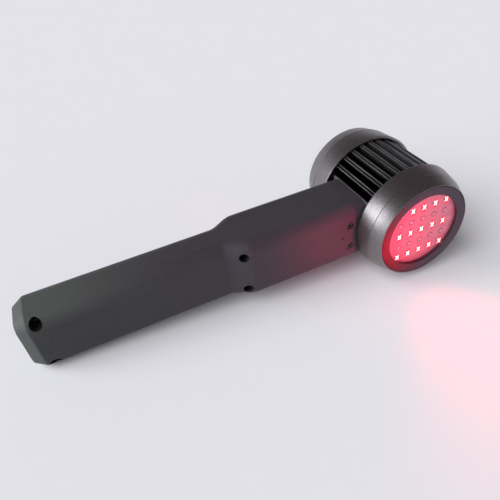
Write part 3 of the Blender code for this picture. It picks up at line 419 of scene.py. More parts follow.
def finished(shape, name):
    """A mesh from a bmesh, welded, with its faces outwards and its edges sharp where it turns."""
    bmesh.ops.remove_doubles(shape, verts=shape.verts, dist=WELD)
    bmesh.ops.recalc_face_normals(shape, faces=shape.faces)
    mesh = bpy.data.meshes.new(name)
    shape.to_mesh(mesh)
    shape.free()
    return smoothed(mesh)


def turned(name, profile, segments=ROUND_SEGMENTS, closed=False, hexagon=()):
    """A solid turned about local Z. The profile is a list of ((radius, height), edge mark); a marked
    edge is lightened, partly as scuffing and partly as a painted highlight.
    """
    shape = bmesh.new()
    wear_and_highlight = shape.verts.layers.float.new("wear_and_highlight")
    rows = []
    for index, ((radius, height), worn) in enumerate(profile):
        rows.append([])
        for step in range(segments if radius > WELD else 1):
            angle = 2 * math.pi * step / segments
            flat = (angle + math.pi / 6) % (math.pi / 3) - math.pi / 6
            reach = radius / math.cos(flat) if index in hexagon else radius
            vertex = shape.verts.new((reach * math.cos(angle), reach * math.sin(angle), height))
            vertex[wear_and_highlight] = worn
            rows[-1].append(vertex)
    for near, far in zip(rows, rows[1:] + rows[:1] if closed else rows[1:]):
        for i in range(segments):
            j = (i + 1) % segments
            corners = (near[i % len(near)], near[j % len(near)], far[j % len(far)], far[i % len(far)])
            shape.faces.new(list(dict.fromkeys(corners)))
    return finished(shape, name)


def lofted(name, stations):
    """A closed skin through cross-sections with the same number of points, each a list of places."""
    shape = bmesh.new()
    rows = [[shape.verts.new(place) for place in station] for station in stations]
    count = len(rows[0])
    for near, far in zip(rows, rows[1:]):
        for i in range(count):
            j = (i + 1) % count
            shape.faces.new((near[i], near[j], far[j], far[i]))
    shape.faces.new(rows[0])
    shape.faces.new(rows[-1])
    return finished(shape, name)


def rod(start, end, radius, segments=ROUND_SEGMENTS):
    """A round bar between two places, as a mesh for cutting or joining."""
    start = Vector(start)
    run = Vector(end) - start
    turn = run.to_track_quat("Z", "Y").to_matrix().to_4x4()
    turn.translation = start + run / 2
    shape = bmesh.new()
    size = {"radius1": radius, "radius2": radius, "depth": run.length}
    bmesh.ops.create_cone(shape, cap_ends=True, segments=segments, matrix=turn, **size)
    return finished(shape, "rod")


def bore(line, start, end, radius, segments=ROUND_SEGMENTS):
    """A round bar along the head's axis, on a line given as (x, z)."""
    x, z = line
    return rod((x, start, z), (x, end, z), radius, segments)


def rounded_box(half_width, half_height, radius, steps=CORNER_STEPS):
    """A rectangle with round corners, anticlockwise."""
    points = []
    for quarter, (sx, sy) in enumerate(((1, 1), (-1, 1), (-1, -1), (1, -1))):
        for step in range(steps + 1):
            angle = math.pi / 2 * (quarter + step / steps)
            x = sx * (half_width - radius) + radius * math.cos(angle)
            points.append((x, sy * (half_height - radius) + radius * math.sin(angle)))
    return points


def block(name, axis, middle, halves, corner, rows, steps=CORNER_STEPS, shrink=1):
    """A block with round corners along X or Y. A row is a place on the axis and how far the outline is
    drawn in there. The corners shrink by that much, times shrink."""
    stations = []
    for at, inset in rows:
        outline = rounded_box(halves[0] - inset, halves[1] - inset, corner - shrink * inset, steps)
        outline = [(middle[0] + a, middle[1] + b) for a, b in outline]
        stations.append([(at, a, b) if axis == "X" else (a, at, b) for a, b in outline])
    return lofted(name, stations)


def linked(name, data):
    """An object for a mesh, a curve, a lamp or a camera, in the scene."""
    obj = bpy.data.objects.new(name, data)
    bpy.context.scene.collection.objects.link(obj)
    return obj


def evaluated(obj):
    """The mesh that an object's modifiers make. The object itself is removed."""
    bpy.context.view_layer.update()
    graph = bpy.context.evaluated_depsgraph_get()
    mesh = bpy.data.meshes.new_from_object(
        obj.evaluated_get(graph), preserve_all_data_layers=True, depsgraph=graph
    )
    bpy.data.objects.remove(obj)
    return mesh


def solid(name, mesh, cuts=(), joins=(), weighted=True):
    """A mesh after its Boolean joins and cuts, with normals that keep its flat faces flat."""
    body = linked(name, mesh)
    tools = []
    for operation, others in (("UNION", joins), ("DIFFERENCE", cuts)):
        for other in others:
            tools.append(linked("tool", other))
            change = body.modifiers.new("change", "BOOLEAN")
            change.operation = operation
            change.solver = "EXACT"
            change.object = tools[-1]
    made = smoothed(evaluated(body))
    for tool in tools:
        bpy.data.objects.remove(tool)
    if weighted:
        body = linked(name, made)
        body.modifiers.new("even", "WEIGHTED_NORMAL").keep_sharp = True
        made = evaluated(body)
    return made


def moved(mesh, *matrices):
    for matrix in matrices:
        mesh.transform(matrix)
    return mesh


def joined(name, *groups):
    """Meshes as one. Each group keeps the number of its own finish in material order."""
    shape = bmesh.new()
    for index, meshes in enumerate(groups):
        start = len(shape.faces)
        for mesh in meshes:
            shape.from_mesh(mesh)
        shape.faces.ensure_lookup_table()
        for face in shape.faces[start:]:
            face.material_index = index
    made = bpy.data.meshes.new(name)
    shape.to_mesh(made)
    shape.free()
    return smoothed(made)


def show(name, mesh, coats, nodes, body="device"):
    """Lays a finished mesh down. It stands for its CAD nodes and moves with their body."""
    mesh.transform(DEVICE)
    chosen = [face.material_index for face in mesh.polygons]
    mesh.materials.clear()
    for coat in coats:
        mesh.materials.append(finishes[coat])
    mesh.polygons.foreach_set("material_index", chosen)
    obj = linked(name, mesh)
    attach(obj, body)
    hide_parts(*nodes)


# Node trees
RANGE, MIX, NOISE = "ShaderNodeMapRange", "ShaderNodeMix", "ShaderNodeTexNoise"
SPLIT, COMBINE, MAPPING = "ShaderNodeSeparateXYZ", "ShaderNodeCombineXYZ", "ShaderNodeMapping"
COPIES, REAL = "GeometryNodeInstanceOnPoints", "GeometryNodeRealizeInstances"
JOIN, MERGE = "GeometryNodeJoinGeometry", "GeometryNodeMergeByDistance"
ADD, SUBTRACT, MULTIPLY, DIVIDE, ABSOLUTE, ROUND, MINIMUM, MAXIMUM = (
    ("ShaderNodeMath", operation)
    for operation in ("ADD", "SUBTRACT", "MULTIPLY", "DIVIDE", "ABSOLUTE", "ROUND", "MINIMUM", "MAXIMUM")
)
LENGTH, SIZES = ("ShaderNodeVectorMath", "LENGTH"), ("ShaderNodeVectorMath", "ABSOLUTE")


def feed(sockets, inputs):
    """Gives inputs of a node, by name or in order, a value or the socket that feeds them."""
    for key, value in inputs.items() if isinstance(inputs, dict) else enumerate(inputs):
        if isinstance(value, bpy.types.NodeSocket):
            value.id_data.links.new(value, sockets[key])
        else:
            sockets[key].default_value = value


def add_node(tree, kind, inputs=(), out=0, **settings):
    """Adds one node, of a kind or of a (kind, operation), and gives one of its outputs."""
    if isinstance(kind, tuple):
        kind, settings["operation"] = kind
    made = tree.nodes.new(kind)
    for name, value in settings.items():
        setattr(made, name, value)
    feed(made.inputs, inputs)
    return made.outputs[out]


def new_tree(name, **inputs):
    """A call that adds nodes to a new geometry tree, and the sockets of its named inputs."""
    tree = bpy.data.node_groups.new(name, "GeometryNodeTree")
    tree.interface.new_socket("Geometry", in_out="OUTPUT", socket_type="NodeSocketGeometry")
    for label, kind in {"Geometry": "Geometry", **inputs}.items():
        tree.interface.new_socket(label, in_out="INPUT", socket_type=f"NodeSocket{kind}")
    return partial(add_node, tree), tree.nodes.new("NodeGroupInput").outputs


def ended(node, geometry, finish):
    """Ends a tree: its copies become real geometry with their finish."""
    real = node(REAL, [geometry])
    dressed = node("GeometryNodeSetMaterial", {"Geometry": real, "Material": finish})
    tree = dressed.id_data
    feed(tree.nodes.new("NodeGroupOutput").inputs, [dressed])
    return tree


def grid_tree():
    """Copies the starting mesh onto a grid in the XY plane."""
    sizes = {"Columns": "Int", "Rows": "Int", "Column Pitch": "Float", "Row Pitch": "Float"}
    node, given = new_tree("copies_on_grid", **sizes, Finish="Material")
    grid = {"Vertices X": given["Columns"], "Vertices Y": given["Rows"]}
    for axis, count, pitch in (("X", "Columns", "Column Pitch"), ("Y", "Rows", "Row Pitch")):
        gaps = node(SUBTRACT, (given[count], 1.0))
        grid[f"Size {axis}"] = node(MULTIPLY, (gaps, given[pitch]))
    points = node("GeometryNodeMeshGrid", grid)
    copies = node(COPIES, {"Points": points, "Instance": given["Geometry"]})
    return ended(node, copies, given["Finish"])


def places_tree():
    """Copies the starting mesh onto the vertices of another object."""
    node, given = new_tree("copies_at_places", Places="Object", Finish="Material")
    places = node("GeometryNodeObjectInfo", [given["Places"]], "Geometry")
    copies = node(COPIES, {"Points": places, "Instance": given["Geometry"]})
    return ended(node, copies, given["Finish"])


def fins_tree():
    """Turns a fin's outline round the core, closes it with the pad's, fills it and draws it out."""
    node, given = new_tree(
        "fins_round_core", Pad="Object", Fins="Int", Step="Float", Depth="Float", Finish="Material"
    )
    points = node("GeometryNodePoints", [given["Fins"]])
    index = node("GeometryNodeInputIndex")
    last = node(SUBTRACT, (given["Fins"], 1.0))
    middle = node(DIVIDE, (last, 2.0))
    order = node(SUBTRACT, (index, middle))
    angle = node(MULTIPLY, (order, given["Step"]))
    turn = node(COMBINE, {"Z": angle})
    copies = node(COPIES, {"Points": points, "Instance": given["Geometry"], "Rotation": turn})
    fins = node(REAL, [copies])
    outline = node(JOIN, [fins])
    pad = node("GeometryNodeObjectInfo", [given["Pad"]], "Geometry")
    feed(outline.node.inputs, [pad])
    outline = node(MERGE, {"Geometry": outline, "Distance": OUTLINE_WELD})
    outline = node("GeometryNodeMeshToCurve", [outline])
    floor = node("GeometryNodeFillCurve", [outline], mode="TRIANGLES")
    run = node(COMBINE, {"Z": given["Depth"]})
    drawn = {"Mesh": floor, "Offset": run, "Offset Scale": 1.0, "Individual": False}
    whole = node(JOIN, [node("GeometryNodeExtrudeMesh", drawn, mode="FACES")])
    feed(whole.node.inputs, [node("GeometryNodeFlipFaces", [floor])])
    closed = node(MERGE, {"Geometry": whole, "Distance": SKIN_WELD})
    return ended(node, closed, given["Finish"])


def grown(name, tree, mesh, inputs):
    """The mesh that a geometry tree makes from a starting mesh and its inputs."""
    holder = linked(name, mesh)
    growth = holder.modifiers.new("growth", "NODES")
    growth.node_group = tree
    for item in tree.interface.items_tree:
        if item.in_out == "INPUT" and item.name in inputs:
            growth[item.identifier] = inputs[item.name]
    return smoothed(evaluated(holder))


def edges_along(points):
    return [(i, i + 1) for i in range(len(points) - 1)]


def helper(name, points, edges=()):
    """A helper object whose vertices mark places or an outline for a geometry tree."""
    mesh = bpy.data.meshes.new(name)
    mesh.from_pydata([tuple(point) for point in points], list(edges), [])
    return linked(name, mesh)


# Finishes. A noise is used over its middle or over nearly all of it. Mottle is coarser than the grain
finishes = {}
EVEN = (1, 1, 1)
MIDDLE = (0.35, 0.65)
WIDE = (0.2, 0.8)
MOTTLE = 6
RING_DETAIL = 2.0

# Where the painted light on the grip's top fades out and the painted red light on the neck fades in,
# along the device's X
GRIP_TO_NECK = (-205 * MM, -120 * MM)


def lighter(base, share):
    return [value + (1 - value) * share for value in base]


def darker(base, share):
    return [value * (1 - share) for value in base[:3]] + [1]


def device_places(node, stretch=EVEN):
    """Object coordinates turned into the device's own frame, then scaled along its axes."""
    world = node("ShaderNodeTexCoord", out="Object")
    turn = {"Vector": world, "Location": TO_DEVICE.to_translation(), "Rotation": TO_DEVICE.to_euler()}
    return node(MAPPING, {"Vector": node(MAPPING, turn), "Scale": stretch})


def device_axes(node):
    """X, Y and Z in the device's own frame."""
    return node(SPLIT, [device_places(node)]).node.outputs


def distance_of(node, x, y):
    """Two coordinates as a flat place, and how far it is from the origin."""
    flat = node(COMBINE, (x, y))
    return flat, node(LENGTH, [flat], "Value")


def new_finish(name, base, roughness, metallic=0.0, grains=(), detail=3.0, **values):
    """A material with what is the same all over. Gives a call that adds nodes to it, its shader's inputs
    and a noise for each grain, which is the size of its features in metres and a scale for each axis."""
    made = finishes[name] = bpy.data.materials.new(name)
    made.use_nodes = True
    node = partial(add_node, made.node_tree)
    shader = made.node_tree.nodes["Principled BSDF"].inputs
    feed(shader, {"Base Color": base, "Roughness": roughness, "Metallic": metallic})
    feed(shader, {key.replace("_", " "): value for key, value in values.items()})
    noises = []
    for size, stretch in grains:
        noise = {"Scale": 1 / size, "Detail": detail, "Roughness": 0.6}
        noises.append(node(NOISE, {"Vector": device_places(node, stretch), **noise}))
    return node, shader, noises


def painted(node, tone, *layers):
    """A colour under layers of other colours. A layer is (share, colour), or (driver, start, end, low,
    high, colour), where its share goes from low to high as the driver goes from start to end."""
    for *share, over in layers:
        share = share[0] if len(share) == 1 else node(RANGE, share)
        tone = node(MIX, {0: share, 6: tone, 7: over}, 2, data_type="RGBA")
    return tone


def coated(node, shader, tone, gloss, *reliefs):
    """Links a colour, a gloss and a chain of reliefs, each as its height and its depth in metres."""
    chain = {}
    for height, depth in reliefs:
        relief = {"Height": height, "Distance": depth, "Strength": 1.0, **chain}
        chain = {"Normal": node("ShaderNodeBump", relief)}
    feed(shader, {"Base Color": tone, "Roughness": gloss, **chain})


def wear_and_highlight_share(node, driver, low, high):
    """How far a marked edge is lightened, uneven as its driver: partly scuffed bare, partly a painted
    highlight.
    """
    worn = node("ShaderNodeAttribute", out="Fac", attribute_name="wear_and_highlight")
    uneven = node(RANGE, (driver, *MIDDLE, low, high))
    return node(MULTIPLY, (worn, uneven))


def grained(name, base, accent, size, gloss, depth, metallic=0.0, stretch=EVEN, worn=None, **values):
    """A finish with a mottled colour, an uneven gloss and a fine relief. Its grain is size in metres."""
    grains = ((size * MOTTLE, stretch), (size, stretch))
    node, shader, (coarse, fine) = new_finish(name, base, gloss[0], metallic, grains, **values)
    tone = painted(node, base, (coarse, 0.3, 0.7, 0, 1, accent))
    # Marked edges are lighter, partly scuffed bare and partly a painted highlight
    if worn:
        tone = painted(node, tone, (wear_and_highlight_share(node, coarse, 0.25, 1), worn))
    coated(node, shader, tone, node(RANGE, (fine, *WIDE, *gloss)), (fine, depth))
    return node, shader, tone


def ring_finish(base):
    """Bead-blasted, anodised aluminium: an even satin grey with a fine sparkle, and edges lightened
    partly by scuffing and partly by a painted highlight.
    """
    # Blasting beads leave dents of 0.1 mm; they are drawn at 0.4 mm, the finest that shows
    node, shader, (dents,) = new_finish(
        "anodised_aluminium_blasted", base, 0.40, 1.0, [(0.4 * MM, EVEN)], RING_DETAIL
    )
    x, y, z = device_axes(node)
    _, radius = distance_of(node, x, z)
    lathe = node(COMBINE, (radius, y))
    # Lathe feed is 0.1 mm; it is drawn at 0.6 mm, the finest that shows
    turning = {"Vector": lathe, "Scale": 1 / (0.6 * MM), "Detail": RING_DETAIL, "Roughness": 0.6}
    circles = node(NOISE, turning)
    tone = painted(
        node,
        darker(base, 0.24),
        (dents, 0.35, 0.70, 0, 1, lighter(base, 0.24)),
        # Lighter edges, partly scuffed bare and partly a painted highlight
        (wear_and_highlight_share(node, dents, 0.2, 0.6), lighter(base, 0.20)),
    )
    gloss = node(RANGE, (dents, *WIDE, 0.32, 0.42))
    uneven = node(RANGE, (circles, *MIDDLE, -0.03, 0.03))
    gloss = node(ADD, (gloss, uneven))
    coated(node, shader, tone, gloss, (circles, 0.006 * MM), (dents, 0.040 * MM))


def face_finish(base, radius, window):
    """Anodised sheet, fine blasted: flat and dull, with a red sheen painted into its colour where the
    light would graze it, and a painted glow on the window's edge.
    """
    node, shader, tone = grained(
        "anodised_sheet_dark", base, linear("4c4450"), 0.4 * MM, (0.38, 0.50), 0.01 * MM, 0.75
    )
    x, _, z = device_axes(node)
    _, reach = distance_of(node, x, z)
    # Painted red sheen: the colour turns red towards the handle, a little lower than the middle
    lower = node(MULTIPLY, (z, 0.35))
    side = node(ADD, (x, lower))
    sheen = painted(node, tone, (side, -0.95 * radius, -0.25 * radius, 1, 0, linear("6e1229")))
    # Painted glow: the window's edge emits light as if it caught the light of the plate, mostly above
    # and towards the handle
    edge = node(RANGE, (reach, window + 0.35 * MM, window + 0.60 * MM, 1, 0))
    slant = node(SUBTRACT, (z, x))
    upper = node(RANGE, (slant, 0.2 * window, window, 0, 0.8))
    glow = node(MULTIPLY, (edge, upper))
    feed(shader, {"Base Color": sheen, "Emission Color": linear("ff5f84"), "Emission Strength": glow})


def nylon_finish(name, base, rubbed, near_head):
    """Sintered nylon: matt, with a powder grain and faint streaks; lighter on the grip's top and the
    butt, and red near the head, both painted light.
    """
    # Powder grains and layers are 0.1 mm; they are drawn at 0.5 and 0.7 mm, the finest that shows
    grains = ((0.5 * MM, EVEN), (0.7 * MM, (0.05, 1, 1)))
    node, shader, (powder, layers) = new_finish(name, base, 0.62, 0.0, grains, Specular_IOR_Level=0.45)
    x, y, z = device_axes(node)
    # Painted light: the grip's top and the butt are lighter where the light falls on them
    rise = node(RANGE, (z, 10 * MM, 17 * MM, 0, 1))
    grip = node(RANGE, (x, *GRIP_TO_NECK, 1, 0))
    butt = node(RANGE, (x, shell_low.x + 5 * MM, shell_low.x + 7 * MM, 1, 0))
    light = node(MULTIPLY, (rise, grip))
    light = node(MAXIMUM, (light, butt))
    # Painted red light: the neck is tinted as if lit by the head's red light, most of all in front
    neck = node(RANGE, (x, *GRIP_TO_NECK, 0, 1))
    front = node(RANGE, (y, 36 * MM, 52 * MM, 1, 0.25))
    painted_red_light = node(MULTIPLY, (neck, front))
    tone = painted(
        node,
        base,
        (light, rubbed),
        (painted_red_light, near_head),
        (layers, 0.45, 0.70, 0, 0.30, lighter(base, 0.020)),
        (powder, 0.45, 0.75, 0, 0.5, lighter(base, 0.055)),
    )
    coated(node, shader, tone, node(RANGE, (powder, *WIDE, 0.56, 0.70)), (powder, 0.045 * MM))


def diode_light(node, across, up, soft):
    """How white the light of a lit diode is, and how red, this far across and up from its middle."""
    # The white cross has an arm along each diagonal, thinner further out, and is taller than wide
    across = node(MULTIPLY, (across, 1.12))
    up = node(MULTIPLY, (up, 0.76))
    flat, distance = distance_of(node, across, up)
    sizes = node(SIZES, [flat])
    width, height, _ = node(SPLIT, [sizes]).node.outputs
    skew = node(SUBTRACT, (width, height))
    off = node(ABSOLUTE, [skew])
    arm = node(RANGE, (distance, 0.2 * MM, 3.0 * MM, 1.15 * MM, -soft))
    inside = node(SUBTRACT, (arm, off))
    white = node(RANGE, (inside, -soft, soft, 0, 1))
    return white, node(RANGE, (distance, 1.9 * MM, 3.3 * MM, 1, 0))


def plate_finish(glow, pitch, radius):
    """Diffusing acrylic lit from behind: a milky plate with a painted pink glow, painted red light round
    each lit diode and the painted white of the lit chips, in its colour and its emission.
    """
    # A pink base colour stands for the diodes' red light on the milky plate, a painted light
    base = linear("ac6072")
    node, shader, (mottle,) = new_finish("diffusing_acrylic", base, 0.45, grains=[(1.2 * MM, EVEN)])
    x, _, z = device_axes(node)
    _, reach = distance_of(node, x, z)
    # How far the nearest lit diode is, across and up: they stand in five columns and in every other row
    offsets = []
    for axis, spacing, last in ((x, pitch, 2.0), (z, 2 * pitch, 1.0)):
        steps = held = node(DIVIDE, (axis, spacing))
        for operation, bound in ((ROUND, 0.0), (MINIMUM, last), (MAXIMUM, -last)):
            held = node(operation, (held, bound))
        off = node(SUBTRACT, (steps, held))
        offsets.append(node(MULTIPLY, (off, spacing)))
    white, red = diode_light(node, *offsets, 0.45 * MM)
    # Painted light: the glow is redder towards the handle, and a painted shade darkens its rim below and
    # away from the handle
    rim = node(RANGE, (reach, radius - 3.0 * MM, radius, 0, 0.7))
    slant = node(SUBTRACT, (x, z))
    lower = node(RANGE, (slant, -0.4 * radius, 0.6 * radius, 0, 1))
    shade = node(MULTIPLY, (rim, lower))
    light = painted(
        node,
        linear("b41f40"),
        (x, -22 * MM, 24 * MM, 0, 1, linear("c07e92")),
        (shade, linear("7c2c3e")),
        (red, glow),
        (white, linear("fff0f2")),
    )
    power = node(RANGE, (white, 0, 1, 0.44, 1.5))
    # The base colour also carries painted red light round each lit diode
    tone = painted(node, base, (mottle, *MIDDLE, 0, 1, linear("9e5466")), (red, linear("b0364a")))
    feed(shader, {"Base Color": tone, "Emission Color": light, "Emission Strength": power})


def lens_finish(name, lit, radius):
    """A clear epoxy lens: lit, a white cross in red light over its chip; unlit, a pale drop with a
    painted pink glow and a painted shade round its rim.
    """
    base = linear("a82a3c" if lit else "b88492")
    node, shader, _ = new_finish(name, base, 0.12)
    disc = node("ShaderNodeUVMap", uv_map="disc")
    stretch = {"Vector": disc, "Location": (-radius, -radius, 0), "Scale": (2 * radius, 2 * radius, 1)}
    centred = node(MAPPING, stretch)
    if lit:
        x, y, _ = node(SPLIT, [centred]).node.outputs
        white, _ = diode_light(node, x, y, 0.22 * MM)
        glow = painted(node, linear("c4162f"), (white, linear("fff4f5")))
        power = node(RANGE, (white, 0, 1, 0.75, 1.8))
    else:
        # Painted light on the unlit lens: a faint pink glow, and a painted shade round its rim
        distance = node(LENGTH, [centred], "Value")
        rim = node(RANGE, (distance, 0.62 * radius, 0.92 * radius, 0, 1))
        feed(shader, {"Base Color": painted(node, base, (rim, linear("4e3038")))})
        glow = painted(node, linear("a04a60"), (rim, linear("300c18")))
        power = 0.55
    feed(shader, {"Emission Color": glow, "Emission Strength": power})


def glass_finish():
    """Smoked acrylic over a dark display: black and glossy, with a slightly paler field behind it."""
    base = linear("0b0c0e")
    node, shader, (smears,) = new_finish(
        "smoked_acrylic", base, 0.08, grains=[(5 * MM, EVEN)], Coat_Weight=0.6, Coat_Roughness=0.03
    )
    x, _, z = device_axes(node)
    shares = []
    for axis, centre, half in ((x, window_middle.x, window_half.x), (z, window_middle.z, window_half.z)):
        off = node(SUBTRACT, (axis, centre))
        size = node(ABSOLUTE, [off])
        shares.append(node(RANGE, (size, half - 2.6 * MM, half - 2.4 * MM, 1, 0)))
    field = node(MULTIPLY, shares)
    tone = painted(node, base, (field, linear("20242a")))
    feed(shader, {"Base Color": tone, "Roughness": node(RANGE, (smears, *MIDDLE, 0.06, 0.16))})


# Finishes of one kind: colour, accent, grain in mm, range of gloss, depth of the relief in mm, metal
GRAINED = {
    # Black oxide on steel: nearly black, softly glossy, greyer on the rim of the head and the socket's
    # mouth, partly scuffed and partly a painted highlight
    "black_oxide_steel": ("1d1d1f", "151416", 0.3, (0.28, 0.42), 0.004, 0.9),
    # Silicone rubber, moulded: soft, very matt black
    "silicone_rubber": ("242426", "1d1d1f", 0.35, (0.62, 0.78), 0.012, 0.0),
    # Screen-printed ink: an even, dull white
    "printed_ink": ("d9d9d6", "c9c9c6", 0.3, (0.5, 0.6), 0.004, 0.0),
    # Moulded ABS: black with a fine spark-eroded grain
    "moulded_abs_black": ("1b1b1c", "232324", 0.3, (0.40, 0.52), 0.01, 0.0),
    # Nickel plate on brass: a bright, slightly warm pin
    "nickel_plate": ("b8b4aa", "a39f95", 0.3, (0.18, 0.28), 0.003, 1.0),
    # Solder mask on glass-fibre board: green or white, with the weave just showing
    "solder_mask_green": ("1f5a34", "17462a", 0.6, (0.30, 0.42), 0.01, 0.0),
    "solder_mask_white": ("e4e2de", "d6d3ce", 0.6, (0.32, 0.44), 0.01, 0.0),
    # Heat-shrunk PVC: a thin blue film with soft highlights
    "shrink_wrap_blue": ("1d4f8c", "17406f", 2.0, (0.22, 0.34), 0.02, 0.0),
    # PVC jacket: black and smooth
    "pvc_jacket_black": ("1c1c1d", "262627", 0.8, (0.38, 0.50), 0.01, 0.0),
}
GRAINED_EXTRAS = {
    "black_oxide_steel": {"worn": linear("8f8e92")},
    "silicone_rubber": {"Sheen_Weight": 0.15},
}
INNER_FINISHES = {
    "emitter_board": "solder_mask_white",
    "control_board": "solder_mask_green",
    "driver_board": "solder_mask_green",
    "battery_cell": "shrink_wrap_blue",
    "display_module": "moulded_abs_black",
    "emitter_cable": "pvc_jacket_black",
    "board_screw": "black_oxide_steel",
    "plate_screw": "black_oxide_steel",
}


def make_finishes(scene):
    """Makes each finish once."""
    tones = {field: linear(getattr(scene.therapy_finishes, field)) for field in Finishes.__annotations__}
    head, diodes = scene.therapy_head, scene.therapy_diodes
    ring_finish(tones["ring"])
    face_finish(tones["face"], head.face_ring_radius, head.window_radius)
    # Extruded aluminium, black anodised: deep black, with its tips a satin grey, partly scuffed bare and
    # partly a painted highlight
    grain = (0.5 * MM, (0.30, 0.42), 0.006 * MM, 0.85, (1, 0.1, 1))
    grained("anodised_extrusion_black", tones["fins"], linear("121113"), *grain, linear("8c8a8e"))
    # Milled aluminium, bare: pale and bright along its edges
    grained("milled_aluminium", tones["plate"], linear("9a989b"), 0.4 * MM, (0.28, 0.42), 0.01 * MM, 0.9)
    # The collar's nylon is a little darker, and a painted shade makes that inside the screw holes nearly
    # black
    for name, shade in (("", 0.0), ("_collar", 0.10), ("_painted_hole_shade", 0.85)):
        nylon = [darker(tones[field], shade) for field in ("nylon", "nylon_top", "nylon_head")]
        nylon_finish(f"sintered_nylon{name}", *nylon)
    plate_finish(tones["glow"], diodes.pitch, head.window_radius)
    for name, lit in (("epoxy_lens_lit", True), ("epoxy_lens_unlit", False)):
        lens_finish(name, lit, diodes.lens_radius)
    glass_finish()
    for name, (base, accent, size, gloss, depth, metal) in GRAINED.items():
        extras = GRAINED_EXTRAS.get(name, {})
        grained(name, linear(base), linear(accent), size * MM, gloss, depth * MM, metal, **extras)


# Parts of the handle
def inset_at(x, sizes):
    """How far the butt's chamfer draws the cross-section in at x, with its corner softened."""
    soft = sizes.edge_rounding
    slope = sizes.chamfer_depth / sizes.chamfer_length
    past = shell_low.x + sizes.chamfer_length - x
    inset = 0.0
    if past > -soft:
        inset = slope * (past + soft) ** 2 / (4 * soft) if past < soft else slope * past
    from_end = x - shell_low.x
    if from_end < soft:
        inset += soft - math.sqrt(max(0, soft * soft - (soft - from_end) ** 2))
    return inset


def section_at(x, sizes, inset):
    """Half depth, half height and corner radius of the handle at x, drawn in by the inset."""
    flare_start = shell_high.x - sizes.neck_length - sizes.flare_length
    share = min(1, max(0, (x - flare_start) / sizes.flare_length))
    bend = share * share * (3 - 2 * share)
    pairs = (
        (sizes.grip_half_depth, sizes.neck_half_depth),
        (sizes.grip_half_height, sizes.neck_half_height),
        (sizes.grip_corner, sizes.neck_corner),
    )
    return [near + bend * (far - near) - inset for near, far in pairs]


def half_section(x, sizes, side, start, inset):
    """Half of the handle's cross-section at x, from the parting plane round to it again."""
    half_depth, half_height, corner = section_at(x, sizes, inset)
    points = [(start, half_height)]
    for quarter, sign in ((0, 1), (1, -1)):
        for step in range(CORNER_STEPS + 1):
            angle = math.pi / 2 * (1 - quarter - step / CORNER_STEPS)
            depth = half_depth - corner + corner * math.cos(angle)
            points.append((depth, sign * (half_height - corner) + corner * math.sin(angle)))
    points.append((start, -half_height))
    return [(x, sizes.middle + side * depth, z) for depth, z in points]


def outer_rows(sizes):
    """Where the handle's cross-sections stand and how far each is drawn in."""
    soft = sizes.edge_rounding
    chamfer_end = shell_low.x + sizes.chamfer_length
    flare_start = shell_high.x - sizes.neck_length - sizes.flare_length
    end = shell_high.x + CAD_GAP - sizes.seam_gap
    places = [shell_low.x + soft * (1 - math.cos(math.pi / 2 * i / 4)) for i in range(5)]
    places += [chamfer_end - soft + 2 * soft * i / 5 for i in range(6)]
    places += [flare_start + sizes.flare_length * i / FLARE_STEPS for i in range(FLARE_STEPS + 1)]
    rows = [(x, inset_at(x, sizes)) for x in places]
    return rows + [(end - depth, inset) for depth, inset in reversed(BROKEN_EDGE)]


def shell_mesh(name, side, sizes, cuts):
    """One half of the handle: a skin with real walls, its screw bosses, and the given cuts."""
    rows = outer_rows(sizes)
    cavity = shell_low.x + sizes.butt_wall
    inner = [x for x, _ in rows[: -len(BROKEN_EDGE)] if x > cavity + sizes.wall]
    inner = [cavity, *inner, shell_high.x + OVERRUN]
    hollow = lofted("hollow", [half_section(x, sizes, side, -OVERRUN, sizes.wall) for x in inner])
    near = sizes.middle - side * 2 * OVERRUN
    far = sizes.middle + side * (sizes.neck_half_depth + OVERRUN)
    bosses = [bore(line, near, far, sizes.boss_radius) for line in lines_of(SHELL_SCREWS)]
    hollow = solid("hollow", hollow, cuts=bosses, weighted=False)
    skin = lofted(name, [half_section(x, sizes, side, sizes.hairline / 2, inset) for x, inset in rows])
    return solid(name, skin, cuts=[hollow, *cuts])


def darken_holes(mesh, holes):
    """Gives the inside of the deep screw holes the second finish, a painted shade. A hole is (line,
    radius).
    """
    for face in mesh.polygons:
        for (x, z), radius in holes:
            reach = math.hypot(face.center.x - x, face.center.z - z)
            if abs(face.normal.y) < UPRIGHT and abs(reach - radius) < HOLE_FIT:
                face.material_index = 1


# Screws
def cap_screw(name, radius, shank, head_radius, head_height, socket_radius):
    """A cap screw about local Z, its head's underside at zero, with a hexagon socket."""
    rim = HEAD_CHAMFER * head_radius
    outer = rounded(
        [
            (socket_radius * SOCKET_MOUTH, head_height),
            (head_radius - rim, head_height),
            (head_radius, head_height - rim),
            (head_radius, 0),
            (radius, 0),
            (radius, -shank),
            (0, -shank),
        ],
        0.06 * MM,
        2,
        closed=False,
    )
    floor = head_height * SOCKET_FLOOR
    socket = unworn((0, floor - socket_radius * SOCKET_CONE), (socket_radius, floor))
    socket.append(((socket_radius, head_height - 0.05 * MM), 1.0))
    return turned(name, socket + outer, SCREW_SEGMENTS, hexagon=(1, 2))


def set_screws(name, nodes, facing, radius, head_radius, head_height, socket_radius):
    """Cap screws in the places of some CAD screws, with their heads facing the front or the back."""
    low, high, _ = device_box(nodes[0])
    seat = low.y + head_height if facing is FACE_FRONT else high.y - head_height
    shank = high.y - low.y - head_height
    screw = cap_screw(name, radius, shank, head_radius, head_height, socket_radius)
    marks = helper("marks", [(x, seat, z) for x, z in lines_of(nodes)])
    steel = "black_oxide_steel"
    made = grown(name, places_tree(), moved(screw, facing), {"Places": marks, "Finish": finishes[steel]})
    bpy.data.objects.remove(marks)
    show(name, made, [steel], nodes)


# Operators, one for each piece or group of like pieces
class Undoable:
    bl_options = {"REGISTER", "UNDO"}


